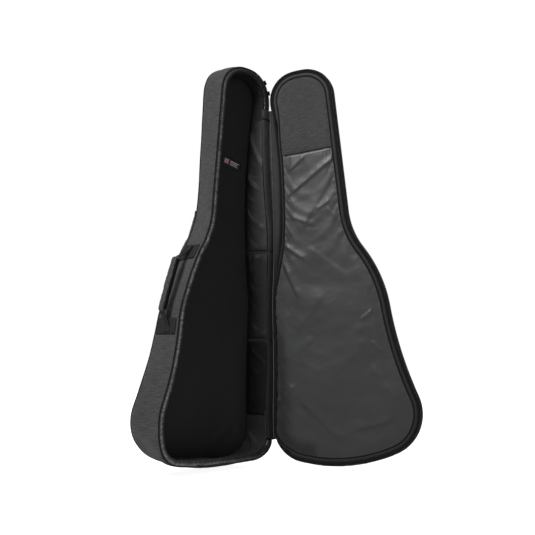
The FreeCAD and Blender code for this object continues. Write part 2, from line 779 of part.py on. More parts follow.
def build_zip_sliders():
    """Two sliders on the head corner arc of the hinge side, their pulls towards +Y."""
    for tag, alias in (("upper", "slider_angle_top"), ("lower", "slider_angle_low")):
        angle = math.radians(dim[alias])
        radial = V(math.cos(angle), 0, math.sin(angle))
        origin = V(head[0] + HEAD_R * radial.x, 0, head[1] + HEAD_R * radial.z)
        frame = TRAY.multiply(axes_frame(origin, Y_AXIS, radial))
        build_slider("zip_slider_" + tag, "zip_pull_" + tag, 0.8, 12.5, 6.0, 0.5, frame)


# ---- back of the bag: hang loop, yoke patch, shoulder straps ---------------------------------
HANG_LOOP = [  # y, z in the back frame
    (0.2, 960), (2.2, 960), (16, 984), (16, 1016), (2.2, 1040), (0.2, 1040),
    (0.2, 1025), (2.0, 1025), (13.6, 1009), (13.6, 991), (2.0, 975), (0.2, 975),
]


def build_hang_loop_and_yoke():
    loop = prism("hang_loop", "YZ_Plane", 0.0, HANG_LOOP, dim["loop_wide"], "Midplane")
    keep(loop, "hang_loop", BACK)
    yoke = box("strap_yoke_patch", -74.0, 74.0, 0.2, 2.2, 640.0, 684.0)
    keep(yoke, "strap_yoke_patch", BACK)


PAD_WIDE = dim["pad_wide"]
STRAP_PAD = [  # distance down the line of the sewn ends, distance outboard of it
    (2, 3), (2, 37), (70, 41), (130, PAD_WIDE + 1), (300, PAD_WIDE + 1), (352, PAD_WIDE - 8),
    (372, 44), (372, 14), (352, 5), (300, 1.5), (130, 1.5), (70, 2),
]


def build_strap(side, out):
    """A strap outboard of the line through its sewn ends, at the yoke and a low tab.

    out is -1 for u < 0 and 1 for u > 0.
    """
    run_x = dim["strap_low_x"] - dim["strap_top_x"]
    run_z = dim["strap_top_z"] - dim["strap_low_z"]
    splay = math.degrees(math.atan2(run_x, run_z))
    strap = BACK.multiply(
        App.Placement(
            V(out * dim["strap_top_x"], 0, dim["strap_top_z"]),
            App.Rotation(Y_AXIS, -splay * out),
        )
    )
    points = [(out * outboard, -down) for down, outboard in STRAP_PAD]
    if out > 0:
        points.reverse()
    label = "shoulder_strap_" + side
    thick = dim["pad_thick"]
    pad = prism(label, "XZ_Plane", -2.4, points, thick, "Reversed", "Sheet.pad_thick")
    keep(pad, label, strap)

    # webbing from the pad's end to the tab, running back towards the line of the sewn ends
    web_start, start_out, end_out = 374.0, 29.0, 14.6
    web_down, web_in = math.hypot(run_x, run_z) - web_start, start_out - end_out
    web_long = math.hypot(web_down, web_in)
    web_lean = math.degrees(math.atan2(web_in, web_down))
    web = strap.multiply(
        App.Placement(V(out * start_out, 0, -web_start), App.Rotation(Y_AXIS, web_lean * out))
    )
    label = "strap_webbing_" + side
    keep(box(label, -12.5, 12.5, 2.6, 4.4, -(web_long - 4.0), 0.0), label, web)

    label = "ladder_lock_" + side
    plate = box(label + "_plate", -17.0, 17.0, 4.6, 9.0, -32.0, -4.0)
    slots = [
        box(label + "_slot", -13.0, 13.0, 3.0, 12.0, z0, z1)
        for z0, z1 in ((-13.5, -8.5), (-27.5, -17.5))
    ]
    keep(cut(label, plate, fuse(label + "_slots", *slots)), label, web)

    label = "strap_tab_" + side
    tab = box(label, -16.0, 16.0, 0.2, 2.3, -(web_long + 24.0), -(web_long - 22.0))
    keep(tab, label, web)


# ================================ LID =========================================================
LID_OUT = -dim["lid_thick"]
LID_IN = -dim["lid_tape_end"]
TAPE_FACE = -dim["tape_start"]


def build_lid_shell():
    in_tape = sum_of("lid_tape_wide")
    in_flange = sum_of("flange_inset")
    in_binding = sum_of("lid_binding_inset")
    for label, outer, inner, y0, y1 in (
        ("lid_outer_fabric", OUTSIDE, None, LID_OUT, LID_OUT + FABRIC),
        ("lid_side_band", OUTSIDE, IN_FABRIC, LID_OUT + FABRIC, LID_IN),
        ("lid_foam", IN_FABRIC, None, LID_OUT + FABRIC, LID_IN),
        ("lid_flange", in_tape, in_flange, LID_IN, TAPE_FACE),
        ("lid_binding", in_flange, in_binding, LID_IN, -dim["lid_binding_face"]),
    ):
        keep(layer(label, outer, inner, y0, y1), label, LID)
    zipper_tapes("lid", in_tape, LID_IN, TAPE_FACE, LID)
    zipper_teeth("lid", -dim["coil_end"], -dim["coil_start"], LID)
    hinge_strip("lid", -dim["strip_end"], -dim["strip_start"], LID)

    # lining below the head seam and pad above it, parted by twice the allowance
    # on the wrong side of neither: each piece keeps its own side of the seam
    seam, allowance = dim["head_seam"], 0.25
    for label, face, v0, v1 in (
        ("lid_lining", TAPE_FACE, seam - allowance, HIGH_END),
        ("head_pad", -dim["head_pad_face"], LOW_END, seam + allowance),
    ):
        body = layer(label, in_binding, None, LID_IN, face)
        cut_bag(body, -FAR_SIDE, FAR_SIDE, v0, v1)
        keep(body, label, LID)


def build_lid_pocket():
    """Accessory pocket on the outside of the lid."""
    pocket_top = dim["pocket_top"]
    front = LID_OUT - dim["pocket_deep"]
    edge = sum_of("pocket_inset")
    in_edge = sum_of("pocket_inset", "fabric_thick")
    for label, inner, y0, y1 in (
        ("pocket_front", None, front - FABRIC, front),
        ("pocket_gusset", in_edge, front, LID_OUT),
    ):
        body = layer(label, edge, inner, y0, y1)
        cut_bag(body, -FAR_SIDE, FAR_SIDE, pocket_top, HIGH_END)
        keep(body, label, LID)

    end_gap, face_gap = 1.2, 0.05
    free_end = side_u("_f", pocket_top - FABRIC, in_edge[0]) + end_gap
    hinge_end = side_u("_h", pocket_top - FABRIC / 2, in_edge[0]) - end_gap
    zipper = box(
        "pocket_zipper",
        free_end, hinge_end,
        front + face_gap, LID_OUT - face_gap,
        pocket_top - FABRIC, pocket_top,
    )
    keep(zipper, "pocket_zipper", LID)

    origin = V(dim["pocket_slider_u"], LID_OUT - dim["pocket_deep"] / 2, pocket_top)
    frame = LID.multiply(axes_frame(origin, X_AXIS, Z_AXIS))
    half_long = dim["slider_long"] / 2
    build_slider("pocket_slider", "pocket_pull", -half_long, half_long, 5.5, 0.4, frame)


# ================================ build, check and write ======================================
doc.recompute()
build_tray_walls()
build_tray_rim()
build_side_pads()
build_care_label()
build_handle_patches()
build_handle_anchors()
build_handle_webbing()
build_handle_grip()
build_zip_sliders()
build_hang_loop_and_yoke()
build_strap("left", -1.0)
build_strap("right", 1.0)
build_lid_shell()
build_lid_pocket()

doc.recompute()
failed = [o.Name for o in doc.Objects if "Invalid" in o.State or "Error" in o.State]
if failed:
    raise RuntimeError("failed objects: %s" % failed)
for piece in pieces:
    if piece.Shape.isNull() or not piece.Shape.isValid() or not piece.Shape.Solids:
        raise RuntimeError("bad shape in %s" % piece.Label)

os.makedirs("parts", exist_ok=True)
for filename in os.listdir("parts"):
    if filename.endswith(".step"):
        os.remove(os.path.join("parts", filename))
for piece in pieces:
    piece.Shape.exportStep("parts/%s.step" % piece.Label)
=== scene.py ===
"""A long soft bag, wide at the base and narrow at the head, standing open like a book.

Bag frame: u runs across (hinge side +u, free side -u), v up the length, y through the depth
from the opening at 0 to the back at +y.  The closed lid would lie at -y.
Row frame: the bag frame tilted about y, with x and y measured from the vertical hinge axis.
World: the row frame moved to its place; the lid is swung about the hinge axis by OPEN.
Lengths are millimetres in the bag and row frames, and metres in the world.
"""
import math
from types import SimpleNamespace as Values
import bpy
import numpy as np
from mathutils import Matrix, Vector


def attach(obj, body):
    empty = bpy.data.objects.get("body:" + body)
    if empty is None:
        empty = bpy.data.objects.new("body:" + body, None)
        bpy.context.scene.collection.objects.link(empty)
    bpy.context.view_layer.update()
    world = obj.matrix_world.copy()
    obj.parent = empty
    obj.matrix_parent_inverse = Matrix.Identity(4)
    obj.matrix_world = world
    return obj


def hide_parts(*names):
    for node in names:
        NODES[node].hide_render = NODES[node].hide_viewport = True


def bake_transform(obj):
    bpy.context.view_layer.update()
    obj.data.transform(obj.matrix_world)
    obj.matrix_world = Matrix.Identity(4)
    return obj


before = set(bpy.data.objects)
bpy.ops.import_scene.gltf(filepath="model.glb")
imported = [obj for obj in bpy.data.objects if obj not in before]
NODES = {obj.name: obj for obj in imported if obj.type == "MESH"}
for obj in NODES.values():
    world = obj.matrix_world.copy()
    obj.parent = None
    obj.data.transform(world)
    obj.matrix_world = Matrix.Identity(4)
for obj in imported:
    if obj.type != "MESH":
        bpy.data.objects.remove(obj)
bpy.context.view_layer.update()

scene = bpy.context.scene

# ---- driving dimensions, mm -------------------------------------------------------------------
LENGTH = 1090.0
BASE_RADIUS, HEAD_RADIUS = 434.0, 231.1     # arcs across the bottom and the top
TOP_CORNER_RADIUS = 78.9
NECK_ANGLE = math.radians(-1.2147)          # lean of the straight neck edge
NECK_HALF, NECK_V = 89.4, 950.0             # half width of the neck at a height
# Each side: lower corner, hollow above it, bulge, and hollow running into the neck.
FREE_SIDE = Values(corner_radius=115.0, corner_half=206.0, hollow_radius=990.8,
                   bulge_radius=363.6, bulge_half=160.0, bulge_v=394.2, neck_radius=200.4)
HINGE_SIDE = Values(corner_radius=95.0, corner_half=208.0, hollow_radius=3240.0,
                    bulge_radius=154.7, bulge_half=163.4, bulge_v=440.1, neck_radius=1709.0)

TILT = math.radians(7.467015)
TILT_X, TILT_Z = 221.907, -3.6804           # shift of the tilted bag frame
HINGE_X, HINGE_Y = 104.2315, 127.448        # hinge axis in the world
OPEN = math.radians(116.5)
BASE_DEPTH, DEPTH_TAPER = 112.0, 0.0459     # tray depth at v = 0 and its loss per mm of v
HINGE_LOW, HINGE_HIGH = 66.0, 978.0         # row heights where the hinge ends and the zip starts
BACK_PAD = 16.0                             # thickness of the padded back

# How far the soft tray stands outside its outline at the opening and at the back edge.
# Columns: u, v, outward offset.
RIM_KEYS = [
    (0, 0, -13), (41, 2, -16), (82, 8, -15), (122, 18, -12), (154, 30, -6), (173, 46, -1),
    (186, 60, 4), (195, 73, 7), (201, 85, 7), (206, 100, 3), (208, 125, 0), (197, 180, 1),
    (189, 211, 5), (182, 242, 8), (175, 273, 11), (170, 304, 12), (166, 335, 12),
    (161, 366, 12.5), (160, 397, 10), (158, 428, 8), (152, 460, 9.5), (144, 493, 13.5),
    (132, 526, 21), (119, 560, 29), (103, 629, 35.5), (97, 663, 36.5), (95, 727, 30.5),
    (92, 825, 21), (90, 890, 15), (89, 956, 7.5), (88, 985, 4), (82, 1030, 0), (60, 1065, 0),
    (0, 1090, 0), (-60, 1062, -2), (-86, 1022, -5), (-89, 956, -4.6), (-90, 890, -3.8),
    (-92, 825, -2.9), (-95, 727, -1.6), (-97, 663, -1.8), (-103, 629, -2.2), (-119, 560, -4),
    (-132, 526, -7.5), (-144, 493, -7.5), (-152, 460, -7), (-158, 428, -3.5), (-160, 397, 0),
    (-161, 366, -1.5), (-166, 335, -4), (-170, 304, -6), (-175, 273, -7.7), (-182, 242, -10),
    (-189, 211, -10.8), (-197, 180, -10.8), (-204, 150, -11.5), (-206, 120, -10.5),
    (-200, 91, -7), (-192, 75, -2.5), (-184, 61, 3), (-168, 43, 12), (-157, 34, 15),
    (-145, 27, 16), (-127, 19, 14), (-89, 9, 3.5), (-48, 3, -6),
]
BACK_KEYS = [
    (0, 0, -2), (60, 4, 0), (200, 85, 0), (208, 125, 0), (165, 440, 0), (90, 900, 0),
    (60, 1065, 0), (0, 1090, 0), (-50, 1068, 0), (-72, 1047, 6), (-85, 1028, 5), (-89, 994, 5),
    (-89, 961, 2), (-90, 927, 0), (-91, 878, -4), (-92, 828, -6.5), (-93, 795, -9),
    (-94, 762, -12), (-95, 730, -13.4), (-96, 697, -14), (-97, 664, -12.5), (-103, 631, -10.5),
    (-111, 596, -11), (-116, 578, -10), (-120, 560, -12), (-130, 532, -16), (-138, 510, -19),
    (-146, 485, -20), (-154, 455, -17), (-158, 425, -11), (-160, 394, -4), (-166, 331, -3.5),
    (-174, 283, -4), (-187, 220, -2.3), (-203, 157, -3), (-205, 110, 0), (-190, 69, 0),
    (-175, 45, -3), (-140, 25, -4), (-80, 8, -4),
]


# ---- outline ----------------------------------------------------------------------------------
def run_length(points):
    """Length along a polyline at each of its points."""
    steps = np.linalg.norm(np.diff(points, axis=0), axis=1)
    return np.concatenate([[0], np.cumsum(steps)])


def tangent_centre(first, first_reach, second, second_reach):
    """The point at given distances from two centres, on the right of the line between them."""
    dx, dz = second[0] - first[0], second[1] - first[1]
    gap = math.hypot(dx, dz)
    along = (first_reach ** 2 - second_reach ** 2 + gap * gap) / (2 * gap)
    off = math.sqrt(max(first_reach ** 2 - along * along, 0.0))
    return (first[0] + along * dx / gap + off * dz / gap,
            first[1] + along * dz / gap - off * dx / gap)


def side_centres(side):
    """Arc centres of a side's lower corner, hollow and bulge, drawn on +u."""
    reach = side.corner_half - side.corner_radius
    rise = math.sqrt((BASE_RADIUS - side.corner_radius) ** 2 - reach ** 2)
    corner = (reach, BASE_RADIUS - rise)
    bulge = (side.bulge_half - side.bulge_radius, side.bulge_v)
    hollow = tangent_centre(corner, side.corner_radius + side.hollow_radius,
                            bulge, side.hollow_radius + side.bulge_radius)
    return corner, hollow, bulge


def mirror(point):
    return (-point[0], point[1])


def direction(start, end):
    gap = math.hypot(end[0] - start[0], end[1] - start[1])
    return ((end[0] - start[0]) / gap, (end[1] - start[1]) / gap)


def arc_chain():
    """Anticlockwise arcs from the base: centre, radius (negative in a hollow), end normals.

    A centre of None is a straight line between its neighbours.
    """
    base, head = (0.0, BASE_RADIUS), (0.0, LENGTH - HEAD_RADIUS)
    corner_f, hollow_f, bulge_f = side_centres(FREE_SIDE)
    corner_h, hollow_h, bulge_h = side_centres(HINGE_SIDE)
    out = (math.cos(NECK_ANGLE), math.sin(NECK_ANGLE))
    along = (-out[1], out[0])
    edge = out[0] * NECK_HALF + out[1] * NECK_V

    def beside_neck(offset, centre, reach):
        """Point on a parallel to the neck edge, at a distance from a centre."""
        x, z = out[0] * offset, out[1] * offset
        dx, dz = x - centre[0], z - centre[1]
        b = dx * along[0] + dz * along[1]
        step = -b + math.sqrt(b * b - (dx * dx + dz * dz - reach * reach))
        return (x + along[0] * step, z + along[1] * step)

    top = beside_neck(edge - TOP_CORNER_RADIUS, head, HEAD_RADIUS - TOP_CORNER_RADIUS)
    neck_f = beside_neck(edge + FREE_SIDE.neck_radius, bulge_f,
                         FREE_SIDE.bulge_radius + FREE_SIDE.neck_radius)
    neck_h = tangent_centre(bulge_h, HINGE_SIDE.bulge_radius + HINGE_SIDE.neck_radius,
                            top, TOP_CORNER_RADIUS + HINGE_SIDE.neck_radius)
    base_f = mirror(direction(base, corner_f))
    base_h = direction(base, corner_h)
    corner_out_h = direction(corner_h, hollow_h)
    bulge_in_h = direction(bulge_h, hollow_h)
    bulge_out_h = direction(bulge_h, neck_h)
    top_h = direction(top, neck_h)
    head_h = direction(head, top)
    neck_out = mirror(out)
    bulge_out_f = mirror(direction(bulge_f, neck_f))
    bulge_in_f = mirror(direction(bulge_f, hollow_f))
    corner_out_f = mirror(direction(corner_f, hollow_f))
    return [
        (base, BASE_RADIUS, base_f, base_h),
        (corner_h, HINGE_SIDE.corner_radius, base_h, corner_out_h),
        (hollow_h, -HINGE_SIDE.hollow_radius, corner_out_h, bulge_in_h),
        (bulge_h, HINGE_SIDE.bulge_radius, bulge_in_h, bulge_out_h),
        (neck_h, -HINGE_SIDE.neck_radius, bulge_out_h, top_h),
        (top, TOP_CORNER_RADIUS, top_h, head_h),
        (head, HEAD_RADIUS, head_h, mirror(head_h)),
        (mirror(top), TOP_CORNER_RADIUS, mirror(head_h), neck_out),
        (None, 0.0, neck_out, neck_out),
        (mirror(neck_f), -FREE_SIDE.neck_radius, neck_out, bulge_out_f),
        (mirror(bulge_f), FREE_SIDE.bulge_radius, bulge_out_f, bulge_in_f),
        (mirror(hollow_f), -FREE_SIDE.hollow_radius, bulge_in_f, corner_out_f),
        (mirror(corner_f), FREE_SIDE.corner_radius, corner_out_f, base_f),
    ]


class Outline:
    """Points p, outward normals n and arc length s; total is the length of a closed outline."""

    def __init__(self, p, n, s, total=None):
        self.p, self.n, self.s, self.total = p, n, s, total

    def at(self, inset):
        """The points moved inwards by one inset, or by one for each point."""
        return self.p - np.reshape(inset, (-1, 1)) * self.n

    def moved(self, inset):
        """u and v arrays for a table of insets with one row for each point."""
        return (self.p[:, :1] - inset * self.n[:, :1], self.p[:, 1:] - inset * self.n[:, 1:])

    def part(self, mask):
        """The first unbroken run of points where mask holds."""
        start = np.argmax(mask & ~np.roll(mask, 1))
        count = np.argmin(np.roll(mask, -start))
        picked = np.roll(np.arange(len(mask)), -start)[:count]
        p = self.p[picked]
        return Outline(p, self.n[picked], run_length(p) + self.s[picked[0]])


def build_outline(step):
    """The closed outline, sampled at about step mm."""
    points, normals = [], []
    arcs = arc_chain()
    for k, (centre, radius, first, last) in enumerate(arcs):
        if centre is None:
            ends = [np.array(arcs[j][0]) + arcs[j][1] * np.array(first) for j in (k - 1, k + 1)]
            count = max(2, int(np.linalg.norm(ends[1] - ends[0]) / step))
            t = np.arange(count) / count
            points.append(ends[0] + np.outer(t, ends[1] - ends[0]))
            normals.append(np.repeat([first], count, 0))
            continue
        start, stop = math.atan2(first[1], first[0]), math.atan2(last[1], last[0])
        turn = (stop - start + math.pi) % (2 * math.pi) - math.pi
        count = max(3, int(abs(turn) * abs(radius) / step))
        angle = start + turn * (np.arange(count) / count)
        normals.append(np.stack([np.cos(angle), np.sin(angle)], 1))
        points.append(np.array(centre) + radius * normals[-1])
    p = np.vstack(points)
    s = run_length(np.vstack([p, p[:1]]))
    return Outline(p, np.vstack(normals), s[:-1], float(s[-1]))


FINE_LINE = build_outline(1.0)
CLOSE_LINE = build_outline(2.2)
CLOTH_LINE = build_outline(3.0)


# ---- noise and folds --------------------------------------------------------------------------
def lattice(ix, iy, seed):
    n = (ix.astype(np.int64) * 374761393 + iy.astype(np.int64) * 668265263
         + seed * 1442695041) & 0xFFFFFFFF
    n = ((n ^ (n >> 13)) * 1274126177) & 0xFFFFFFFF
    n = n ^ (n >> 16)
    return (n & 0xFFFF) / 32767.5 - 1.0


def noise(x, y, seed):
    """Smooth value noise from -1 to 1 with a period of one unit."""
    x, y = np.broadcast_arrays(np.asarray(x, float), np.asarray(y, float))
    ix, iy = np.floor(x), np.floor(y)
    fx, fy = x - ix, y - iy
    sx = fx * fx * fx * (fx * (fx * 6 - 15) + 10)
    sy = fy * fy * fy * (fy * (fy * 6 - 15) + 10)
    low = lattice(ix, iy, seed) * (1 - sx) + lattice(ix + 1, iy, seed) * sx
    high = lattice(ix, iy + 1, seed) * (1 - sx) + lattice(ix + 1, iy + 1, seed) * sx
    return low * (1 - sy) + high * sy


def fractal(x, y, seed, octaves=3):
    """Layers of noise, each twice as fine and half as high as the last."""
    total = 0.0
    for k in range(octaves):
        scale = 2 ** k
        total = total + noise(np.asarray(x) * scale, np.asarray(y) * scale, seed + 17 * k) / scale
    return total / 1.75


def ease(t):
    """Smooth step from 0 to 1."""
    t = np.clip(t, 0, 1)
    return t * t * (3 - 2 * t)


def ridge(x, y, x0, y0, x1, y1, left, right, height):
    """A fold along a segment, with a width on each side, fading at both ends."""
    dx, dy = x1 - x0, y1 - y0
    length = math.hypot(dx, dy)
    t = ((x - x0) * dx + (y - y0) * dy) / length ** 2
    off = ((x - x0) * -dy + (y - y0) * dx) / length
    end = ease(np.minimum(t + 0.06, 1.06 - t) / 0.25)
    return height * np.exp(-(off / np.where(off > 0, left, right)) ** 2) * end


def add_folds(height, x, y, folds, weight=1.0):
    """Fold columns: x0, y0, x1, y1, left width, right width, height."""
    for fold in folds:
        height = height + ridge(x, y, *fold) * weight
    return height


def nearest(u, v, line):
    """Distance and index of the nearest point of a polyline, for arrays of points."""
    points = np.stack([u, v], -1)
    flat = points.reshape(-1, 2)
    gap, index = np.empty(len(flat)), np.empty(len(flat), int)
    for k in range(0, len(flat), 4000):
        square = ((flat[k:k + 4000, None, :] - line[None]) ** 2).sum(-1)
        index[k:k + 4000] = square.argmin(1)
        gap[k:k + 4000] = np.sqrt(square.min(1))
    return gap.reshape(points.shape[:-1]), index.reshape(points.shape[:-1])


def edge_distance(u, v, inset):
    return nearest(u, v, CLOTH_LINE.at(inset))[0]


# ---- placing points ---------------------------------------------------------------------------
def depth(v):
    return BASE_DEPTH - DEPTH_TAPER * v


def tilted(u, v):
    """A bag-frame direction turned into row-frame x and z."""
    return u * math.cos(TILT) + v * math.sin(TILT), -u * math.sin(TILT) + v * math.cos(TILT)


def row_xz(u, v):
    x, z = tilted(u, v)
    return x - TILT_X, z - TILT_Z


def bag_uv(x, z):
    x, z = x + TILT_X, z + TILT_Z
    return x * math.cos(TILT) - z * math.sin(TILT), x * math.sin(TILT) + z * math.cos(TILT)


def to_world(x, y, z, angle=0.0):
    """World point, in metres, of a row-frame point swung about the hinge axis."""
    x, y, z = np.broadcast_arrays(*(np.asarray(value, float) for value in (x, y, z)))
    c, s = math.cos(angle), math.sin(angle)
    return np.stack([x * c - y * s + HINGE_X, x * s + y * c + HINGE_Y, z], -1) / 1000.0


def tray_raw(u, y, v):
    x, z = row_xz(np.asarray(u, float), np.asarray(v, float))
    return to_world(x, y, z)


def lid(u, y, v):
    x, z = row_xz(np.asarray(u, float), np.asarray(v, float))
    return to_world(x, y, z, OPEN)


def spread_keys(keys):
    """Offsets at even arc lengths round the outline, smoothed from a key table."""
    rows = sorted((FINE_LINE.s[((FINE_LINE.p - key[:2]) ** 2).sum(1).argmin()], key[2])
                  for key in keys)
    s, offset = np.array(rows, float).T
    total = FINE_LINE.total
    even = np.linspace(0, total, 600, endpoint=False)
    value = np.interp(even, np.concatenate([s - total, s, s + total]), np.tile(offset, 3))
    for _ in range(10):
        value = (np.roll(value, 1) + 2 * value + np.roll(value, -1)) / 4
    return even, value


RIM_STAND = spread_keys(RIM_KEYS)
BACK_STAND = spread_keys(BACK_KEYS)


def stand(s, y, v):
    """Outward offset of the standing tray at arc length s, depth y and height v."""
    s = np.mod(s, FINE_LINE.total)
    rim = np.interp(s, *RIM_STAND, period=FINE_LINE.total)
    back = np.interp(s, *BACK_STAND, period=FINE_LINE.total)
    t = ease(np.asarray(y, float) / (depth(v) - 6.0))
    return rim * (1 - t) + back * t


def tray(u, y, v):
    """World point of the tray; the standing shape fades away from the outline."""
    u, y, v = np.broadcast_arrays(*(np.asarray(value, float) for value in (u, y, v)))
    gap, index = nearest(u, v, FINE_LINE.p[::2])
    index = index * 2
    offset = stand(FINE_LINE.s[index], y, v) * np.exp(-(gap / 55.0) ** 2)
    normal = FINE_LINE.n[index]
    return tray_raw(u + normal[..., 0] * offset, y, v + normal[..., 1] * offset)


PLACE = {"tray": tray, "lid": lid}
LID_STEP = lid(0, 1, 0) - lid(0, 0, 0)      # 1 mm along the lid's y, in metres


# ---- mesh helpers -----------------------------------------------------------------------------
def make(name, verts, faces, uvs=None, mat=None):
    mesh = bpy.data.meshes.new(name)
    mesh.from_pydata(np.asarray(verts, float).reshape(-1, 3).tolist(), [], faces)
    mesh.update()
    smooth_faces(mesh)
    if uvs is not None:
        layer = mesh.uv_layers.new(name="UVMap")
        layer.data.foreach_set("uv", np.asarray(uvs, np.float32).ravel())
    ob = bpy.data.objects.new(name, mesh)
    scene.collection.objects.link(ob)
    if mat:
        mesh.materials.append(mat)
    return ob


def smooth_faces(mesh):
    mesh.polygons.foreach_set("use_smooth", [True] * len(mesh.polygons))


def grid(name, P, s, w, mat=None, flip=False):
    """Mesh of a P[i][j] array; s and w give the texture position in metres along i and j.

    One value more than there are rows or columns closes the sheet that way.  A sheet closed
    along j only is a tube, and gets end caps.
    """
    ni, nj = P.shape[:2]
    closed_i, closed_j = len(s) > ni, len(w) > nj
    i, j = np.meshgrid(np.arange(len(s) - 1), np.arange(len(w) - 1), indexing="ij")
    i2, j2 = (i + 1) % ni, (j + 1) % nj
    quads = np.stack([i * nj + j, i2 * nj + j, i2 * nj + j2, i * nj + j2], -1).reshape(-1, 4)
    us = np.stack([s[i], s[i + 1], s[i + 1], s[i]], -1).reshape(-1, 4)
    ws = np.stack([w[j], w[j], w[j + 1], w[j + 1]], -1).reshape(-1, 4)
    uv = np.stack([us, ws], -1)
    if flip:
        quads, uv = quads[:, ::-1], uv[:, ::-1]
    faces, uv = quads.tolist(), uv.reshape(-1, 2)
    if closed_j and not closed_i:
        faces += [list(range(nj)), list(range(ni * nj - 1, (ni - 1) * nj - 1, -1))]
        caps = [(s[0], w[k]) for k in range(nj)] + [(s[ni - 1], w[nj - 1 - k]) for k in range(nj)]
        uv = np.concatenate([uv, caps])
    return make(name, P, faces, uv, mat)


def tube(name, points, radius, mat, closed=False, sides=10):
    """A round cord along points in metres."""
    if closed:
        tangent = np.roll(points, -1, 0) - np.roll(points, 1, 0)
    else:
        tangent = np.gradient(points, axis=0)
    tangent /= np.maximum(np.linalg.norm(tangent, axis=1, keepdims=True), 1e-12)
    up = [0.0, 1.0, 0.0] if abs(tangent[:, 1]).mean() < 0.8 else [0.0, 0.0, 1.0]
    a = np.cross(tangent, up)
    a /= np.maximum(np.linalg.norm(a, axis=1, keepdims=True), 1e-9)
    b = np.cross(tangent, a)
    angle = (np.arange(sides) / sides * 2 * math.pi)[None, :, None]
    P = points[:, None] + radius * (a[:, None] * np.cos(angle) + b[:, None] * np.sin(angle))
    s = run_length(points)
    if closed:
        s = np.append(s, 2 * s[-1] - s[-2])
    return grid(name, P, s, np.append(angle.ravel(), 2 * math.pi) * radius, mat)


def prism_faces(count, sides):
    """Faces of separate capped prisms of four sections each."""
    faces = []
    for base in range(0, count * 4 * sides, 4 * sides):
        for row in range(base, base + 3 * sides, sides):
            for k in range(sides):
                k2 = (k + 1) % sides
                faces.append([row + k, row + k2, row + sides + k2, row + sides + k])
        faces.append([base + k for k in range(sides)][::-1])
        faces.append([base + 3 * sides + k for k in range(sides)])
    return faces


STITCH_PITCH, STITCH_LENGTH, STITCH_RADIUS = 0.0042, 0.0028, 0.00033    # metres
# Sections of a stitch: place along it, radius factor, height in radii.
STITCH_SECTIONS = [(0.0, 0.35, -0.2), (0.25, 1.0, 0.8), (0.75, 1.0, 0.8), (1.0, 0.35, -0.2)]


def stitches(name, points, normal, mat, lift=0.0001):
    """A run of separate thread stitches along points in metres."""
    s = run_length(points)
    count = int(s[-1] / STITCH_PITCH)
    verts = []
    for k in range(count):
        s0 = (k + 0.5) * STITCH_PITCH - STITCH_LENGTH / 2
        start, end = (np.array([np.interp(at, s, points[:, axis]) for axis in range(3)])
                      for at in (s0, s0 + STITCH_LENGTH))
        tangent = (end - start) / max(np.linalg.norm(end - start), 1e-9)
        side = np.cross(normal, tangent)
        for t, size, rise in STITCH_SECTIONS:
            centre = start * (1 - t) + end * t + normal * (lift + STITCH_RADIUS * rise)
            for angle in np.arange(5) / 5 * 2 * math.pi:
                around = side * math.cos(angle) + normal * math.sin(angle)
                verts.append(centre + around * STITCH_RADIUS * size)
    return make(name, verts, prism_faces(count, 5), mat=mat)


def outline_split(inset):
    """Function giving the -u and +u edges of an inset loop at v, and the loop's v range."""
    q = FINE_LINE.at(inset)
    low, high = q[:, 1].argmin(), q[:, 1].argmax()
    n = len(q)
    right = q[[(low + k) % n for k in range((high - low) % n + 1)]]
    left = q[[(high + k) % n for k in range((low - high) % n + 1)]][::-1]

    def edges(v):
        return np.interp(v, left[:, 1], left[:, 0]), np.interp(v, right[:, 1], right[:, 0])

    return edges, q[low, 1], q[high, 1]


def plate(inset, step, across, v0=None, v1=None):
    """Rows of u and v that fill an inset loop; rows crowd towards a rounded end."""
    edges, low, high = outline_split(inset)
    low = low + 0.02 if v0 is None else v0
    high = high - 0.02 if v1 is None else v1
    crowd, k = [], 0
    while 0.35 * (2 * k + 1) < step:
        crowd.append(0.35 * k * k)
        k += 1
    start = [low + gap for gap in crowd] if v0 is None else [low]
    stop = [high - gap for gap in crowd][::-1] if v1 is None else [high]
    count = int((stop[0] - start[-1]) / step)
    rows = np.array(start + list(np.linspace(start[-1], stop[0], count + 1)[1:-1]) + stop)
    even = np.linspace(0, 1, across)
    t = 0.45 * (0.5 - 0.5 * np.cos(math.pi * even)) + 0.55 * even
    left, right = edges(rows)
    return left[:, None] * (1 - t) + right[:, None] * t, np.repeat(rows[:, None], across, 1)


def border(shape, width):
    """Vertex numbers along all four edges of a grid."""
    index = np.arange(shape[0] * shape[1]).reshape(shape[:2])
    parts = (index[:width], index[-width:], index[:, :width], index[:, -width:])
    return np.unique(np.concatenate([part.ravel() for part in parts]))


def bevel(ob, width, segments=2, angle=35):
    mod = ob.modifiers.new("bevel", "BEVEL")
    mod.width, mod.segments, mod.limit_method = width, segments, "ANGLE"
    mod.angle_limit = math.radians(angle)


def thicken(ob, thickness, offset=-1):
    mod = ob.modifiers.new("thick", "SOLIDIFY")
    mod.thickness, mod.offset = thickness, offset


def register(ob, body, slot, *replaced):
    """The body a piece moves with, its material slot (not used) and the CAD pieces it replaces."""
    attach(ob, body)
    if replaced:
        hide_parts(*replaced)


def band(name, body, line, profile, mat, slot, *replaced, flip=False, closed=False):
    """Sweeps a profile along the outline.

    profile(s, u, v) takes columns and gives inset and y tables; closed joins its two ends.
    """
    s, v = line.s[:, None], line.p[:, 1:]
    inset, y = profile(s, line.p[:, :1], v)
    place = lid
    if body == "tray":
        inset = inset - stand(s, y, v)
        place = tray_raw
    u, v = line.moved(inset)
    P = place(u, y, v)
    along = line.s if line.total is None else np.append(line.s, line.total)
    across = run_length(P[len(P) // 2])
    if closed:
        across = np.append(across, across[-1] + 0.002)
    register(grid(name, P, along / 1000.0, across, mat, flip), body, slot, *replaced)


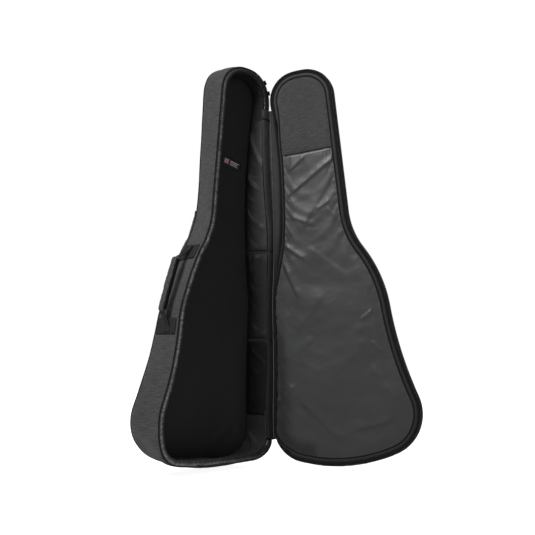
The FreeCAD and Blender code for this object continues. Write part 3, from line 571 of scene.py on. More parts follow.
def sheet(name, body, u, y, v, width, mat, slot, *replaced, flip=False):
    """Cloth over a plate; width is its texture width in metres."""
    across = np.linspace(0, width, u.shape[1])
    ob = grid(name, PLACE[body](u, y, v), v[:, 0] / 1000, across, mat, flip)
    register(ob, body, slot, *replaced)


def edge_cord(name, body, inset, level, radius, *replaced):
    """Black cord round the whole outline at y = level(v)."""
    u, v = CLOTH_LINE.at(inset).T
    ob = tube(name, PLACE[body](u, level(v), v), radius, M_BIND, closed=True)
    register(ob, body, "black_binding", *replaced)


# ---- cloth simulation -------------------------------------------------------------------------
CLOTHS = []


def cloth(ob, pins, cap, bending, tension=15.0, pressure=0.0, shrink=0.0, gravity=0.0, done=None):
    """Queues a cloth simulation whose movement is held under cap metres; done(ob) follows it."""
    group = ob.vertex_groups.new(name="pin")
    group.add([int(i) for i in pins], 1.0, "REPLACE")
    mod = ob.modifiers.new("cloth", "CLOTH")
    settings = mod.settings
    settings.quality = 5
    settings.mass = 0.3
    settings.tension_stiffness = settings.compression_stiffness = tension
    settings.shear_stiffness = tension * 0.5
    settings.bending_stiffness = bending
    settings.tension_damping = settings.compression_damping = 8
    settings.air_damping = 2.0
    if len(pins):
        settings.vertex_group_mass = "pin"
    settings.use_pressure = pressure > 0
    settings.uniform_pressure_force = pressure
    settings.shrink_min = shrink
    settings.effector_weights.gravity = gravity
    mod.point_cache.frame_start, mod.point_cache.frame_end = 1, 40
    CLOTHS.append((ob, cap, done))


def read_points(mesh):
    co = np.zeros(len(mesh.vertices) * 3)
    mesh.vertices.foreach_get("co", co)
    return co.reshape(-1, 3)


def run_cloths(frames):
    """Runs all queued simulations together and keeps their results as the meshes."""
    if not CLOTHS:
        return
    scene.frame_start, scene.frame_end = 1, frames
    for f in range(1, frames + 1):
        scene.frame_set(f)
    graph = bpy.context.evaluated_depsgraph_get()
    for ob, cap, _ in CLOTHS:
        rest = read_points(ob.data)
        move = np.nan_to_num(read_points(ob.evaluated_get(graph).data) - rest)
        length = np.linalg.norm(move, axis=1, keepdims=True)
        move *= np.tanh(length / cap) * cap / np.maximum(length, 1e-9)
        ob["sim"] = True
        ob.data.vertices.foreach_set("co", (rest + move).ravel())
        ob.data.update()
    for ob, _, done in CLOTHS:
        ob.modifiers.remove(ob.modifiers["cloth"])
        if done:
            done(ob)
    scene.frame_set(1)


# ---- materials --------------------------------------------------------------------------------
class Shader:
    """A material with one Principled surface; space is the coordinate output it is mapped by."""

    def __init__(self, name, space="UV"):
        self.material = bpy.data.materials.new(name)
        self.material.use_nodes = True
        self.tree = self.material.node_tree
        self.tree.nodes.clear()
        self.space = space
        output = self.add("OutputMaterial")
        self.surface = self.add("BsdfPrincipled")
        self.feed(output.inputs[0], self.surface.outputs[0])

    def add(self, kind, **settings):
        node = self.tree.nodes.new("ShaderNode" + kind)
        for key, value in settings.items():
            setattr(node, key, value)
        return node

    def feed(self, socket, value):
        """Links an input to an output socket, or sets it to a plain value."""
        if isinstance(value, bpy.types.NodeSocket):
            self.tree.links.new(value, socket)
        else:
            socket.default_value = value

    def set(self, inputs):
        for key, value in inputs.items():
            self.feed(self.surface.inputs[key], value)

    def mapped(self, scale):
        place = self.add("TexCoord").outputs[self.space]
        mapping = self.add("Mapping")
        self.feed(mapping.inputs["Scale"], scale)
        self.feed(mapping.inputs["Vector"], place)
        return mapping.outputs["Vector"]

    def split(self, vector):
        node = self.add("SeparateXYZ")
        self.feed(node.inputs[0], vector)
        return node.outputs

    def noise(self, scale, detail=2.0, rough=0.5):
        """Noise with a frequency per metre on each axis."""
        vector = self.mapped(scale)
        node = self.add("TexNoise")
        values = {"Scale": 1.0, "Detail": detail, "Roughness": rough, "Vector": vector}
        for key, value in values.items():
            self.feed(node.inputs[key], value)
        return node.outputs["Fac"]

    def math(self, operation, *values, clamp=False):
        node = self.add("Math", operation=operation, use_clamp=clamp)
        for socket, value in zip(node.inputs, values):
            self.feed(socket, value)
        return node.outputs[0]

    def times(self, a, b):
        return self.math("MULTIPLY", a, b)

    def remap(self, value, source, target):
        node = self.add("MapRange")
        node.inputs["From Min"].default_value, node.inputs["From Max"].default_value = source
        node.inputs["To Min"].default_value, node.inputs["To Max"].default_value = target
        self.feed(node.inputs["Value"], value)
        return node.outputs[0]

    def mix(self, low, high, factor):
        node = self.add("Mix", data_type="RGBA")
        for key, value in (("A", low), ("B", high), ("Factor", factor)):
            self.feed(node.inputs[key], value)
        return node.outputs["Result"]

    def colour(self, base, factor):
        """Base colour: one colour times a grey factor."""
        node = self.add("VectorMath", operation="SCALE")
        self.feed(node.inputs[0], base)
        self.feed(node.inputs["Scale"], factor)
        self.set({"Base Color": node.outputs[0]})

    def bump(self, height, strength, distance):
        node = self.add("Bump")
        values = {"Strength": strength, "Distance": distance, "Height": height}
        for key, value in values.items():
            self.feed(node.inputs[key], value)
        self.set({"Normal": node.outputs[0]})


MIDDLE = (0.3, 0.7)      # the range that noise mostly fills


def heather(name, level, space="UV", contrast=1.0):
    """Mottled woven cloth: streaks both ways, pale flecks and broad patches."""
    sh = Shader(name, space)
    warp = sh.noise((120, 700, 300), rough=0.6)
    weft = sh.noise((620, 45, 620), detail=3.0, rough=0.65)
    fleck = sh.noise((260, 520, 300), detail=3.0, rough=0.7)
    broad = sh.noise((9, 9, 9))
    streak = (0.36, 0.68)
    warp = sh.remap(warp, streak, (1 - 0.22 * contrast, 1 + 0.26 * contrast))
    weft = sh.remap(weft, streak, (1 - 0.34 * contrast, 1 + 0.48 * contrast))
    fleck = sh.remap(fleck, (0.45, 0.75), (1 - 0.15 * contrast, 1 + 0.35 * contrast))
    broad = sh.remap(broad, MIDDLE, (0.9, 1.1))
    sh.colour((level, level, level), sh.times(sh.times(warp, weft), sh.times(fleck, broad)))
    sh.set({"Roughness": 0.86, "Specular IOR Level": 0.22, "Sheen Weight": 0.14,
            "Sheen Roughness": 0.5})
    weave = sh.math("ADD", sh.noise((500, 1600, 900), detail=1.0),
                    sh.noise((1600, 500, 900), detail=1.0))
    sh.bump(weave, strength=0.35, distance=0.0006)
    return sh.material


def satin(name, level, rough=0.5, cool=1.0, spec=0.4, sheen=0.1, painted_shade_across=None, gathered=False,
          shade=0.0, painted_light_along_axis=None):
    """Smooth lining cloth.

    fade darkens across the texture as painted shade: (start, end, factor at end).  gathered adds
    streaks.
    painted_light_along_axis paints light and shade along an object axis: (axis, start, end, start
    factor, end factor).
    shade is how far the painted shade held in the "shade" attribute darkens the cloth.
    """
    sh = Shader(name)
    fine = sh.noise((1300, 420, 900), rough=0.6)
    broad = sh.noise((7, 7, 7), detail=3.0, rough=0.55)
    factor = sh.times(sh.remap(fine, MIDDLE, (0.88, 1.12)), sh.remap(broad, MIDDLE, (0.94, 1.06)))
    if painted_shade_across:
        across = sh.split(sh.add("TexCoord").outputs["UV"])[1]
        factor = sh.times(factor, sh.remap(across, painted_shade_across[:2], (1.0, painted_shade_across[2])))
    if gathered:
        streaks = sh.noise((170, 45, 100), rough=0.6)
        factor = sh.times(factor, sh.remap(streaks, (0.36, 0.64), (0.5, 1.4)))
    if shade:
        mask = sh.add("Attribute", attribute_name="shade").outputs["Fac"]
        factor = sh.times(factor, sh.remap(mask, (0.0, 1.0), (1.0, 1.0 - shade)))
    if painted_light_along_axis:
        along = sh.split(sh.add("TexCoord").outputs["Object"])[painted_light_along_axis[0]]
        factor = sh.times(factor, sh.remap(along, painted_light_along_axis[1:3], painted_light_along_axis[3:]))
    sh.colour((level * (1 - 0.015 * cool), level, level * (1 + 0.05 * cool)), factor)
    sh.set({"Roughness": sh.remap(broad, MIDDLE, (rough - 0.05, rough + 0.06)),
            "Specular IOR Level": spec, "Sheen Weight": sheen, "Sheen Roughness": 0.4})
    twill = sh.math("ADD", sh.noise((2200, 700, 1200), detail=1.0),
                    sh.times(sh.noise((60, 25, 40)), 1.2))
    sh.bump(twill, strength=0.22, distance=0.0005)
    return sh.material


def webbing(name, level, rib, space="UV", spec=0.25):
    """Ribbed tape; rib is the number of ribs per metre."""
    sh = Shader(name, space)
    x, y = sh.split(sh.mapped((1, 1, 1)))[:2]
    ribs = sh.math("SINE", sh.times(x, rib * 2 * math.pi))
    cross = sh.math("SINE", sh.times(y, rib * 1.7 * 2 * math.pi))
    weave = sh.times(ribs, cross)
    broad = sh.noise((40, 40, 40), detail=3.0, rough=0.6)
    factor = sh.times(sh.remap(weave, (-1, 1), (0.72, 1.28)), sh.remap(broad, MIDDLE, (0.85, 1.15)))
    sh.colour((level, level, level * 1.02), factor)
    sh.set({"Roughness": 0.62, "Specular IOR Level": spec, "Sheen Weight": 0.03})
    sh.bump(weave, strength=0.5, distance=0.0005)
    return sh.material


def hard(name, level, rough, metallic=0.0, wear=0.0):
    """Metal or plastic; wear brightens small patches."""
    sh = Shader(name, "Object")
    patches = sh.noise((90, 90, 90), detail=4.0, rough=0.6)
    grain = sh.noise((700, 700, 700))
    factor = sh.math("ADD", sh.remap(patches, MIDDLE, (0.9, 1.1)),
                     sh.remap(patches, (0.62, 0.72), (0.0, wear)))
    sh.colour((level, level, level * 1.01), factor)
    sh.set({"Roughness": sh.remap(patches, MIDDLE, (rough - 0.08, rough + 0.1)),
            "Metallic": metallic})
    sh.bump(grain, strength=0.15, distance=0.0003)
    return sh.material


def woven_label(name):
    """Dark ground with a pale block and three plain bars."""
    sh = Shader(name)
    x, y = sh.split(sh.add("TexCoord").outputs["UV"])[:2]

    def between(value, low, high):
        return sh.times(sh.math("GREATER_THAN", value, low), sh.math("LESS_THAN", value, high))

    def box(x0, x1, y0, y1):
        return sh.times(between(x, x0, x1), between(y, y0, y1))

    block = box(0.10, 0.32, 0.25, 0.80)
    bars = box(0.40, 0.86, 0.66, 0.74)
    bars = sh.math("ADD", bars, box(0.40, 0.78, 0.46, 0.54), clamp=True)
    bars = sh.math("ADD", bars, box(0.40, 0.82, 0.27, 0.34), clamp=True)
    thread = sh.noise((90, 30, 1))
    ground = sh.mix((0.012, 0.012, 0.013, 1), (0.50, 0.24, 0.25, 1), block)
    bars = sh.times(bars, sh.remap(thread, MIDDLE, (0.6, 1.0)))
    sh.set({"Base Color": sh.mix(ground, (0.85, 0.84, 0.84, 1), bars), "Roughness": 0.6})
    sh.bump(thread, strength=0.3, distance=0.0004)
    return sh.material


M_HEATHER = heather("heather_cloth", level=0.041)
M_HEATHER_LID = heather("heather_head_pad", level=0.040, contrast=0.8)
M_HEATHER_OBJ = heather("heather_cloth_solid", level=0.046, space="Object")
M_WALL = satin("tray_lining", level=0.016, rough=0.6, spec=0.15, sheen=0.03, cool=0.3)
M_FLOOR = satin("tray_floor_lining", level=0.020, rough=0.62, spec=0.2, cool=0.3)
# Lit and shaded copies of one quilted lining: the upper pad painted lit, the middle and lower pads
# in deepening painted shade, and each also darkened towards the floor corner as painted shade
M_PAD_PAINTED_LIT = satin("quilted_lining", level=0.036, spec=0.16, sheen=0.02, cool=0.3,
              painted_shade_across=(0.004, 0.060, 0.13))
M_PAD_PAINTED_HALF_SHADE = satin("quilted_lining_painted_half_shade", level=0.020, spec=0.14, sheen=0.02, cool=0.3,
                  painted_shade_across=(0.004, 0.060, 0.16))
M_PAD_PAINTED_DEEP_SHADE = satin("quilted_lining_painted_deep_shade", level=0.009, rough=0.55, spec=0.1, sheen=0.01, cool=0.3,
                  painted_shade_across=(0.004, 0.060, 0.2))
# Painted shadow: shade=0.72 lets the "shade" attribute darken the lid lining beside the lower hinge
M_LID = satin("lid_satin", level=0.027, rough=0.43, spec=0.45, sheen=0.12, shade=0.72)
# Painted highlight: pale satin that is lightest on the roll's outer edge and on the free side, and
# darkened inwards and towards the hinge side
M_RIM_PAINTED_HIGHLIGHT = satin("rim_satin", level=0.20, rough=0.42, spec=0.5, cool=0.4,
              painted_shade_across=(0.004, 0.011, 0.12), gathered=True, painted_light_along_axis=(0, -0.13, 0.03, 1.0, 0.07))
M_FLANGE = satin("flange_cloth", level=0.011, rough=0.6, spec=0.3)
# Painted shade: the hinge cloth is darkened below about 0.55 m, where the lower quilted pads lie in
# shade
M_HINGE_PAINTED_LOW_SHADE = satin("hinge_cloth", level=0.021, rough=0.6, spec=0.2, cool=0.3,
                painted_light_along_axis=(2, 0.55, 0.64, 0.28, 1.0))
M_BIND = webbing("black_binding", level=0.004, rib=300, spec=0.12)
M_TAPE = webbing("zipper_tape", level=0.004, rib=350, spec=0.12)
M_TEETH = hard("coil_teeth", level=0.005, rough=0.45)
M_WEB = webbing("dark_webbing", level=0.012, rib=260, spec=0.2)
M_WEB_OBJ = webbing("dark_webbing_solid", level=0.012, rib=260, space="Object", spec=0.2)
# Near-black closure webbing on the grip's side facing world -y: a real closure strip, also made
# black to paint that side's shade
M_CLOSURE_AND_PAINTED_SHADE = webbing("grip_closure_painted_shade_webbing", level=0.003, rib=300, spec=0.1)
# Painted highlight: a pale cord standing for the light line along the hinge fold
M_CORD_PAINTED_HIGHLIGHT = satin("fold_cord_painted_highlight", level=0.075, spec=0.3, cool=0.3)
M_METAL = hard("black_zinc", level=0.02, rough=0.34, metallic=0.85, wear=0.6)
M_PLASTIC = hard("black_acetal", level=0.012, rough=0.42)
M_LABEL = woven_label("woven_label")
M_THREAD = webbing("stitch_thread", level=0.05, rib=900, space="Object")
M_THREAD_DARK = webbing("stitch_thread_dark", level=0.012, rib=900, space="Object")


# ---- tray shell -------------------------------------------------------------------------------
def hinge_edge(line, low, high):
    """Mask of the outline's hinge side between two row heights."""
    x, z = row_xz(line.p[:, 0], line.p[:, 1])
    return (x > -75) & (z > low) & (z < high)


ZIP_LINE = CLOSE_LINE.part(~hinge_edge(CLOSE_LINE, HINGE_LOW, HINGE_HIGH))


def gusset_profile(s, u, v):
    """Side wall: turned in at both edges, bulging and rippled between them."""
    front, back = 7.6, depth(v) - 3.0
    t = np.linspace(0, 1, 26)[None]
    y = front + (back - front) * t
    wave = 2.0 * fractal(s / 80, y / 60, 3) + 0.8 * fractal(s / 20, y / 34, 5, 2)
    pucker = (0.7 * noise(s / 9.0, y / 60, 9) * np.exp(-(y - front) / 9)
              + 0.7 * noise(s / 10.0, y / 60, 8) * np.exp(-(back - y) / 9))
    inset = (-2.4 * np.sin(math.pi * t) ** 0.7
             - wave * np.sin(math.pi * np.clip(t, 0.02, 0.98)) ** 0.5 - pucker)
    # np.sin(pi) is a hair above zero, so the power stays real
    return (np.hstack([0 * s + [3.4, 1.0, 0.25], inset, 0 * s + [0.5, 1.4, 3.5]]),
            np.hstack([0 * s + [6.0, 6.1, 6.7], y, depth(v) - [1.4, 0.5, 0.1]]))


band("tray_gusset_cloth", "tray", CLOTH_LINE, gusset_profile, M_HEATHER, "heather_fabric",
     "gusset_outer_fabric", "gusset_foam")

uu, vv = plate(2.0, step=6, across=60)
gap = edge_distance(uu, vv, 2.0)
yy = depth(vv) + 2.6 * ease(gap / 45) + 0.9 * fractal(uu / 90, vv / 90, 21) * ease(gap / 20) - 0.3
sheet("back_cloth", "tray", uu, yy, vv, 0.38, M_HEATHER, "heather_fabric",
      "back_outer_fabric", "back_foam", flip=True)
edge_cord("back_edge_piping", "tray", 0.9, lambda v: depth(v) - 0.9, 0.0021)


def tray_tape_profile(s, u, v):
    wave = 0.12 * noise(s / 14, 0, 31)
    return (np.array([[0.4, -0.15, -0.35, -0.35, -0.2, 0.7, 1.5, 1.5]]) + wave,
            np.array([[3.4, 3.6, 4.4, 5.6, 6.6, 7.8, 7.6, 3.6]]) + 0 * s)


band("tray_tape", "tray", CLOTH_LINE, tray_tape_profile, M_TAPE, "zipper_tape",
     "tray_zipper_tape", "tray_hinge_tape", closed=True)

TOOTH_PITCH, TOOTH_INSET, TOOTH_HALF = 2.3, 1.65, 1.5
# Sections of a tooth: place along the zip, width factor, height factor.
TOOTH_SECTIONS = np.array([(-0.75, 0.55, 0.6), (-0.4, 1.0, 1.0), (0.4, 1.0, 1.0), (0.75, 0.55, 0.6)])
# Corners of a section: across and through, as parts of the half sizes.
TOOTH_LOOP = np.array([(-1, -0.5), (-0.5, -1), (0.5, -1), (1, -0.5),
                       (1, 0.5), (0.5, 1), (-0.5, 1), (-1, 0.5)])


def zip_teeth(name, body, y0, y1, replaced):
    run = ZIP_LINE.s - ZIP_LINE.s[0]
    s = np.arange(0.8, run[-1] - 0.8, TOOTH_PITCH)
    pu, pv, nu, nv = (np.interp(s, run, column)[:, None, None]
                      for column in (*ZIP_LINE.p.T, *ZIP_LINE.n.T))
    along, width, height = TOOTH_SECTIONS.T[..., None]
    across, through = TOOTH_LOOP.T
    inset = TOOTH_INSET + across * TOOTH_HALF * width
    y = (y0 + y1) / 2 + through * (y1 - y0) / 2 * height
    P = PLACE[body](pu - nv * along - nu * inset, y, pv + nu * along - nv * inset)
    ob = make(name, P, prism_faces(len(s), 8), mat=M_TEETH)
    register(ob, body, "zipper_teeth", replaced)


zip_teeth("tray_teeth", "tray", 0.7, 3.4, "tray_zipper_teeth")


def rim_profile(s, u, v):
    """Puckered roll over the tray's edge, then a lip down inside."""
    angle = np.linspace(0.0, math.pi, 15)[None]
    low = ease((60 - v) / 40)
    pucker = ((0.9 + 0.6 * low) * noise(s / 5.5, angle * 0.6, 41)
              + 0.55 * fractal(s / 28, angle * 0.4, 43))
    inset = 10.3 - 7.0 * np.cos(angle) + 0.8 * noise(s / 7, angle * 0.3, 45)
    y = 5.2 - (4.0 + pucker) * np.sin(angle) ** 0.62
    return np.hstack([inset, 0 * s + [17.4, 17.2]]), np.hstack([y, 0 * s + [7.5, 11.0]])


band("rim_roll", "tray", ZIP_LINE, rim_profile, M_RIM_PAINTED_HIGHLIGHT, "rim_satin", "rim_binding")

# ---- tray lining ------------------------------------------------------------------------------
# Folds round the lower hinge-side corner: outline point and y of both ends, widths, height.
CORNER_FOLDS = [
    ((207, 112), 84, (172, 44), 16, 4, 8, 4.6),
    ((205, 95), 60, (140, 24), 12, 4, 7, 3.6),
    ((196, 76), 88, (140, 24), 58, 4, 7, 3.0),
]


def wall_profile(s, u, v):
    """Inner side wall with soft ripples, gathers at both ends and slack along the bottom."""
    t = np.linspace(0, 1, 30)[None]
    y = 7.0 + (depth(v) - BACK_PAD - 7.0 + 0.5) * t
    soft = np.sin(math.pi * t) ** 0.5
    ends = ease((v - 930) / 60) + ease((40 - v) / 30)
    bottom = ease((60 - v) / 30) * soft
    inset = 16.3 + soft * (1.2 + 1.1 * fractal(s / 60, y / 50, 51)
                           + 0.6 * fractal(s / 15, y / 55, 53, 2))
    inset = inset + ends * soft * (1.3 * noise(s / 7.5, y / 70, 55) * np.exp(-(y - 7) / 30)
                                   + 1.5 * ridge(y, s * 0.6, 10, 0, 12, 900, 3, 5, 0.5))

    def s_at(point):
        return s[((u - point[0]) ** 2 + (v - point[1]) ** 2).argmin(), 0]

    folds = [(s_at(start), y0, s_at(end), y1, *size)
             for start, y0, end, y1, *size in CORNER_FOLDS]
    inset = add_folds(inset, s, y, folds, soft)
    slack = 4.0 * fractal(s / 45, y / 9, 57) + 2.0 + 2.4 * noise(s / 14, y / 30, 58)
    return inset + bottom * slack, y


band("tray_wall_lining", "tray", CLOTH_LINE, wall_profile, M_WALL, "tray_lining",
     "gusset_lining", flip=True)

FLOOR_INSET = 16.0
FLOOR_FOLDS = [
    (150, 118, 190, 66, 7, 9, 3.2), (60, 60, 130, 120, 8, 12, 2.0),
    (-60, 70, 20, 130, 9, 14, 1.6), (-70, 930, 30, 980, 5, 8, 1.6),
    (-60, 700, 60, 860, 10, 16, 1.2), (-40, 520, 90, 640, 12, 18, 1.2),
]
uu, vv = plate(FLOOR_INSET, step=4, across=80)
gap = edge_distance(uu, vv, FLOOR_INSET)
height = (ease(gap / 30) * (1 + 0.8 * fractal(uu / 80, vv / 110, 61))
          + 0.35 * fractal(uu / 26, vv / 60, 63))
height = add_folds(height, uu, vv, FLOOR_FOLDS)
sheet("floor_lining", "tray", uu, depth(vv) - BACK_PAD - height, vv, 0.36, M_FLOOR,
      "tray_lining", "back_lining")
edge_cord("floor_welt", "tray", 17.7, lambda v: depth(v) - BACK_PAD - 1.5, 0.0017,
          "back_seam_binding")

# Quilted pads up the hinge-side wall: name, CAD piece, row heights, noise seed, material and
# folds in row height and y.  The materials paint the upper pad lit and the lower ones in deepening
# shade.
SIDE_PADS = [
    ("side_pad_low", "side_pad_lower", 134, 338, 71, M_PAD_PAINTED_DEEP_SHADE,
     [(160, 62, 215, 8, 6, 9, 2.2), (320, 66, 270, 6, 5, 9, 2.0)]),
    ("side_pad_mid", "side_pad_middle", 342, 581, 75, M_PAD_PAINTED_HALF_SHADE,
     [(572, 8, 500, 52, 5, 9, 3.4), (578, 30, 528, 62, 4, 8, 2.6),
      (380, 60, 350, 10, 5, 8, 2.0)]),
    ("side_pad_high", "side_pad_upper", 585, 949, 79, M_PAD_PAINTED_LIT,
     [(944, 62, 812, 6, 5, 10, 4.6), (815, 66, 748, 20, 5, 9, 4.0),
      (700, 60, 640, 10, 7, 12, 2.4)]),
]


def side_pad(name, node, z0, z1, seed, mat, folds):
    line = CLOSE_LINE.part(hinge_edge(CLOSE_LINE, z0, z1))
    t = np.linspace(0, 1, 34)[None]
    y = 6.0 + (depth(line.p[:, 1:]) - 19.0 - 6.0) * t
    a = np.linspace(0, 1, len(line.p))[:, None]
    tall = z1 - z0
    edge = np.clip(np.minimum(np.minimum(a, 1 - a) * tall / 16.0, (1 - t) * 60 / 11.0), 0, 1)
    s = line.s[:, None]
    thick = 4.6 * np.sqrt(np.clip(1 - (1 - edge) ** 2, 0, 1))
    thick = thick + edge * (fractal(s / 55, y / 30, seed) + 0.5 * fractal(s / 18, y / 18, seed + 1))
    thick = add_folds(thick, z0 + tall * a, y, folds, edge)
    # puckers at the lower and upper ends
    thick = thick + 0.9 * noise(s / 8, y / 40, seed + 2) * edge * np.exp(-a * tall / 18)
    thick = thick + 0.9 * noise(s / 8, y / 40, seed + 3) * edge * np.exp(-(1 - a) * tall / 18)
    u, v = line.moved(16.4 + thick)
    P = tray(u, y, v)
    # The texture's second coordinate runs from the tray's edge to the floor corner; the pad
    # materials darken along it as painted shade
    ob = grid(name, P, line.s / 1000, np.linspace(0, 0.06, 34), mat, flip=True)
    cloth(ob, border(P.shape, 2), shrink=-0.006, gravity=0.1, cap=0.0015, bending=0.6, tension=12)
    register(ob, "tray", "quilted_lining", node)


for pad in SIDE_PADS:
    side_pad(*pad)

# Curled label on the tray floor, turned 15 degrees in the row frame
LABEL_LONG, LABEL_WIDE = 72, 24
label_u, label_v = bag_uv(-133.0, 824.0)
turn = math.radians(15) - TILT
a, b = np.meshgrid(np.linspace(0, LABEL_LONG, 25), np.linspace(0, LABEL_WIDE, 11), indexing="ij")
curl = (1.2 + 1.1 * np.sin(a / LABEL_LONG * math.pi * 1.3)
        + (b / LABEL_WIDE - 0.5) ** 2 * 4 * np.sin(a / 30))
label_u = label_u + a * math.cos(turn) + b * math.sin(turn)
label_v = label_v - a * math.sin(turn) + b * math.cos(turn)
ob = grid("sewn_label", tray(label_u, depth(label_v) - BACK_PAD - 1.6 - curl, label_v),
          np.linspace(0, 1, 25), np.linspace(0, 1, 11), M_LABEL)
thicken(ob, 0.0006)
register(ob, "tray", "woven_label", "care_label")

# ---- carry handle -----------------------------------------------------------------------------
# Handle frame: x out from the bag, y towards world -y, z up along the handle.
HANDLE_CENTRE = np.array([-205.2754, 169.448, 483.0642])
HANDLE_OUT = np.array([-0.94041, 0.0, 0.340042])
HANDLE_ACROSS = np.array([0.0, -1.0, 0.0])
HANDLE_UP = np.array([HANDLE_OUT[2], 0.0, -HANDLE_OUT[0]])
HANDLE_SPAN = 208.882
HANDLE_BASE_X = 9.0         # handle x of HANDLE_CENTRE
HANDLE_SHIFT = 4.0          # the raised part of the handle sits this far towards -y of its frame
GRIP_X, GRIP_LENGTH = 31.6, 150


def handle_point(x, y, z):
    x, y, z = np.broadcast_arrays(*(np.asarray(value, float) for value in (x, y, z)))
    return (HANDLE_CENTRE + (x - HANDLE_BASE_X)[..., None] * HANDLE_OUT
            + y[..., None] * HANDLE_ACROSS
            + (z - HANDLE_SPAN / 2)[..., None] * HANDLE_UP) / 1000.0


def patch(name, node, centre_v):
    """Webbing square on the free side, with a box of stitches just inside its edge."""
    mask = (CLOSE_LINE.p[:, 0] < -50) & (np.abs(CLOSE_LINE.p[:, 1] - centre_v) < 20.5)
    line = CLOSE_LINE.part(mask)
    rows = len(line.p)
    s, full = line.s[:, None], depth(line.p[:, 1:])
    a = np.linspace(0, 1, rows)[:, None]
    t = np.linspace(0, 1, 40)[None]
    y = 14.0 + (full - 8.0 - 14.0) * t
    edge = np.minimum(np.minimum(a, 1 - a) * 41 / 2.0, np.minimum(t, 1 - t) * 60 / 2.0)
    bulge = 2.4 * np.sin(math.pi * np.clip((y - 13) / (full - 16), 0, 1)) ** 0.7
    out = (0.3 + bulge * 0.9 + 1.9 * np.sqrt(np.clip(edge, 0, 1))
           + 0.25 * fractal(s / 12, y / 12, 91) + stand(s, y, line.p[:, 1:]))
    u, v = line.moved(-out)
    P = tray_raw(u, y, v)
    ob = grid(name, P, line.s / 1000, y[0] / 1000, M_WEB)
    thicken(ob, 0.0022)
    register(ob, "tray", "dark_webbing", node)

    i0, i1, j0, j1 = 2, rows - 3, 2, 37
    box = [(i, j0) for i in range(i0, i1)]
    box += [(i1, j) for j in range(j0, j1)]
    box += [(i, j1) for i in range(i1, i0, -1)]
    box += [(i0, j) for j in range(j1, j0 - 1, -1)]
    nx, nz = tilted(*line.n[rows // 2])
    ob = stitches(name + "_stitch", np.array([P[i, j] for i, j in box]),
                  np.array([nx, 0, nz]), M_THREAD)
    register(ob, "tray", "dark_webbing")


patch("patch_low", "handle_patch_lower", 360.0)
patch("patch_high", "handle_patch_upper", 564.0)

# Lower half of the strap, mirrored for the upper: x, z, half width.
STRAP_KEYS = [
    (1.9, -16, 12.0), (2.8, -8, 11.8), (5.0, -1, 9.6), (8.6, 6, 8.0), (13.0, 13, 8.0),
    (19.5, 19, 8.6), (25.4, 25, 8.8), (29.0, 31, 8.8), (31.0, 40, 8.4),
    (31.6, HANDLE_SPAN / 2, 8.4),
]
# Section of the strap: across and through, as parts of the half sizes.
STRAP_LOOP = [(-1, 0.0), (-0.92, 0.9), (-0.6, 1.0), (-0.2, 0.8), (0.2, 1.0), (0.6, 0.9),
              (0.92, 0.9), (1, 0), (0.92, -0.9), (0.5, -1), (0, -0.8), (-0.5, -1),
              (-0.92, -0.9)]


def handle_strap():
    keys = np.array(STRAP_KEYS + [(x, HANDLE_SPAN - z, w) for x, z, w in STRAP_KEYS[-2::-1]])
    key_s = run_length(keys[:, :2])
    s = np.linspace(0, key_s[-1], 150)
    path = np.stack([np.interp(s, key_s, keys[:, k]) for k in range(3)], 1)
    for _ in range(6):
        path[1:-1] = (path[:-2] + 2 * path[1:-1] + path[2:]) / 4
    tangent = np.gradient(path[:, :2], axis=0)
    tangent /= np.linalg.norm(tangent, axis=1, keepdims=True)
    # the webbing is gathered where it enters the grip
    gather = np.exp(-((np.minimum(s, s[-1] - s) - 27) / 13) ** 2)
    shift = HANDLE_SHIFT * ease((path[:, 0] - 8.0) / 18.0)
    columns = []
    for across, through in STRAP_LOOP:
        off = ((1.1 + 0.9 * gather) * through + gather * 1.9 * math.sin(across * 7.0)
               + 0.25 * noise(s / 7, across * 2, 95))
        columns.append(handle_point(path[:, 0] + tangent[:, 1] * off,
                                    across * path[:, 2] - shift,
                                    path[:, 1] - tangent[:, 0] * off))
    across = np.append(np.linspace(0, 0.05, len(STRAP_LOOP)), 0.054)
    ob = grid("handle_strap", np.stack(columns, 1), s / 1000, across, M_WEB)
    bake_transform(ob)
    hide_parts("handle_webbing", "handle_anchor_lower", "handle_anchor_upper")


handle_strap()

# Grip sleeve round the strap, its closure along one side, and a row of stitches;
# the closure is near-black, a real strip that also paints the shade on that side
GRIP_ROWS, GRIP_SIDES, CLOSURE_COLUMNS = 76, 44, 14
grip_t = np.linspace(0, 1, GRIP_ROWS)
grip_z = HANDLE_SPAN / 2 - GRIP_LENGTH / 2 + GRIP_LENGTH * grip_t
grip_bow = np.sin(math.pi * grip_t)
grip_end = np.clip(np.minimum(grip_t, 1 - grip_t) * GRIP_LENGTH / 9.0, 0, 1)[:, None]
grip_round = 0.55 + 0.45 * np.sqrt(1 - (1 - grip_end) ** 2)


def grip_point(angle, lift_x, lift_y):
    """Point on the grip's superellipse section, lifted off it."""
    cx, sy = (np.sign(f) * np.abs(f) ** (2 / 2.6) for f in (np.cos(angle), np.sin(angle)))
    return handle_point(GRIP_X + (7.2 * grip_round + lift_x) * cx + grip_bow[:, None],
                        (10.8 * grip_round + lift_y) * sy - HANDLE_SHIFT, grip_z[:, None])


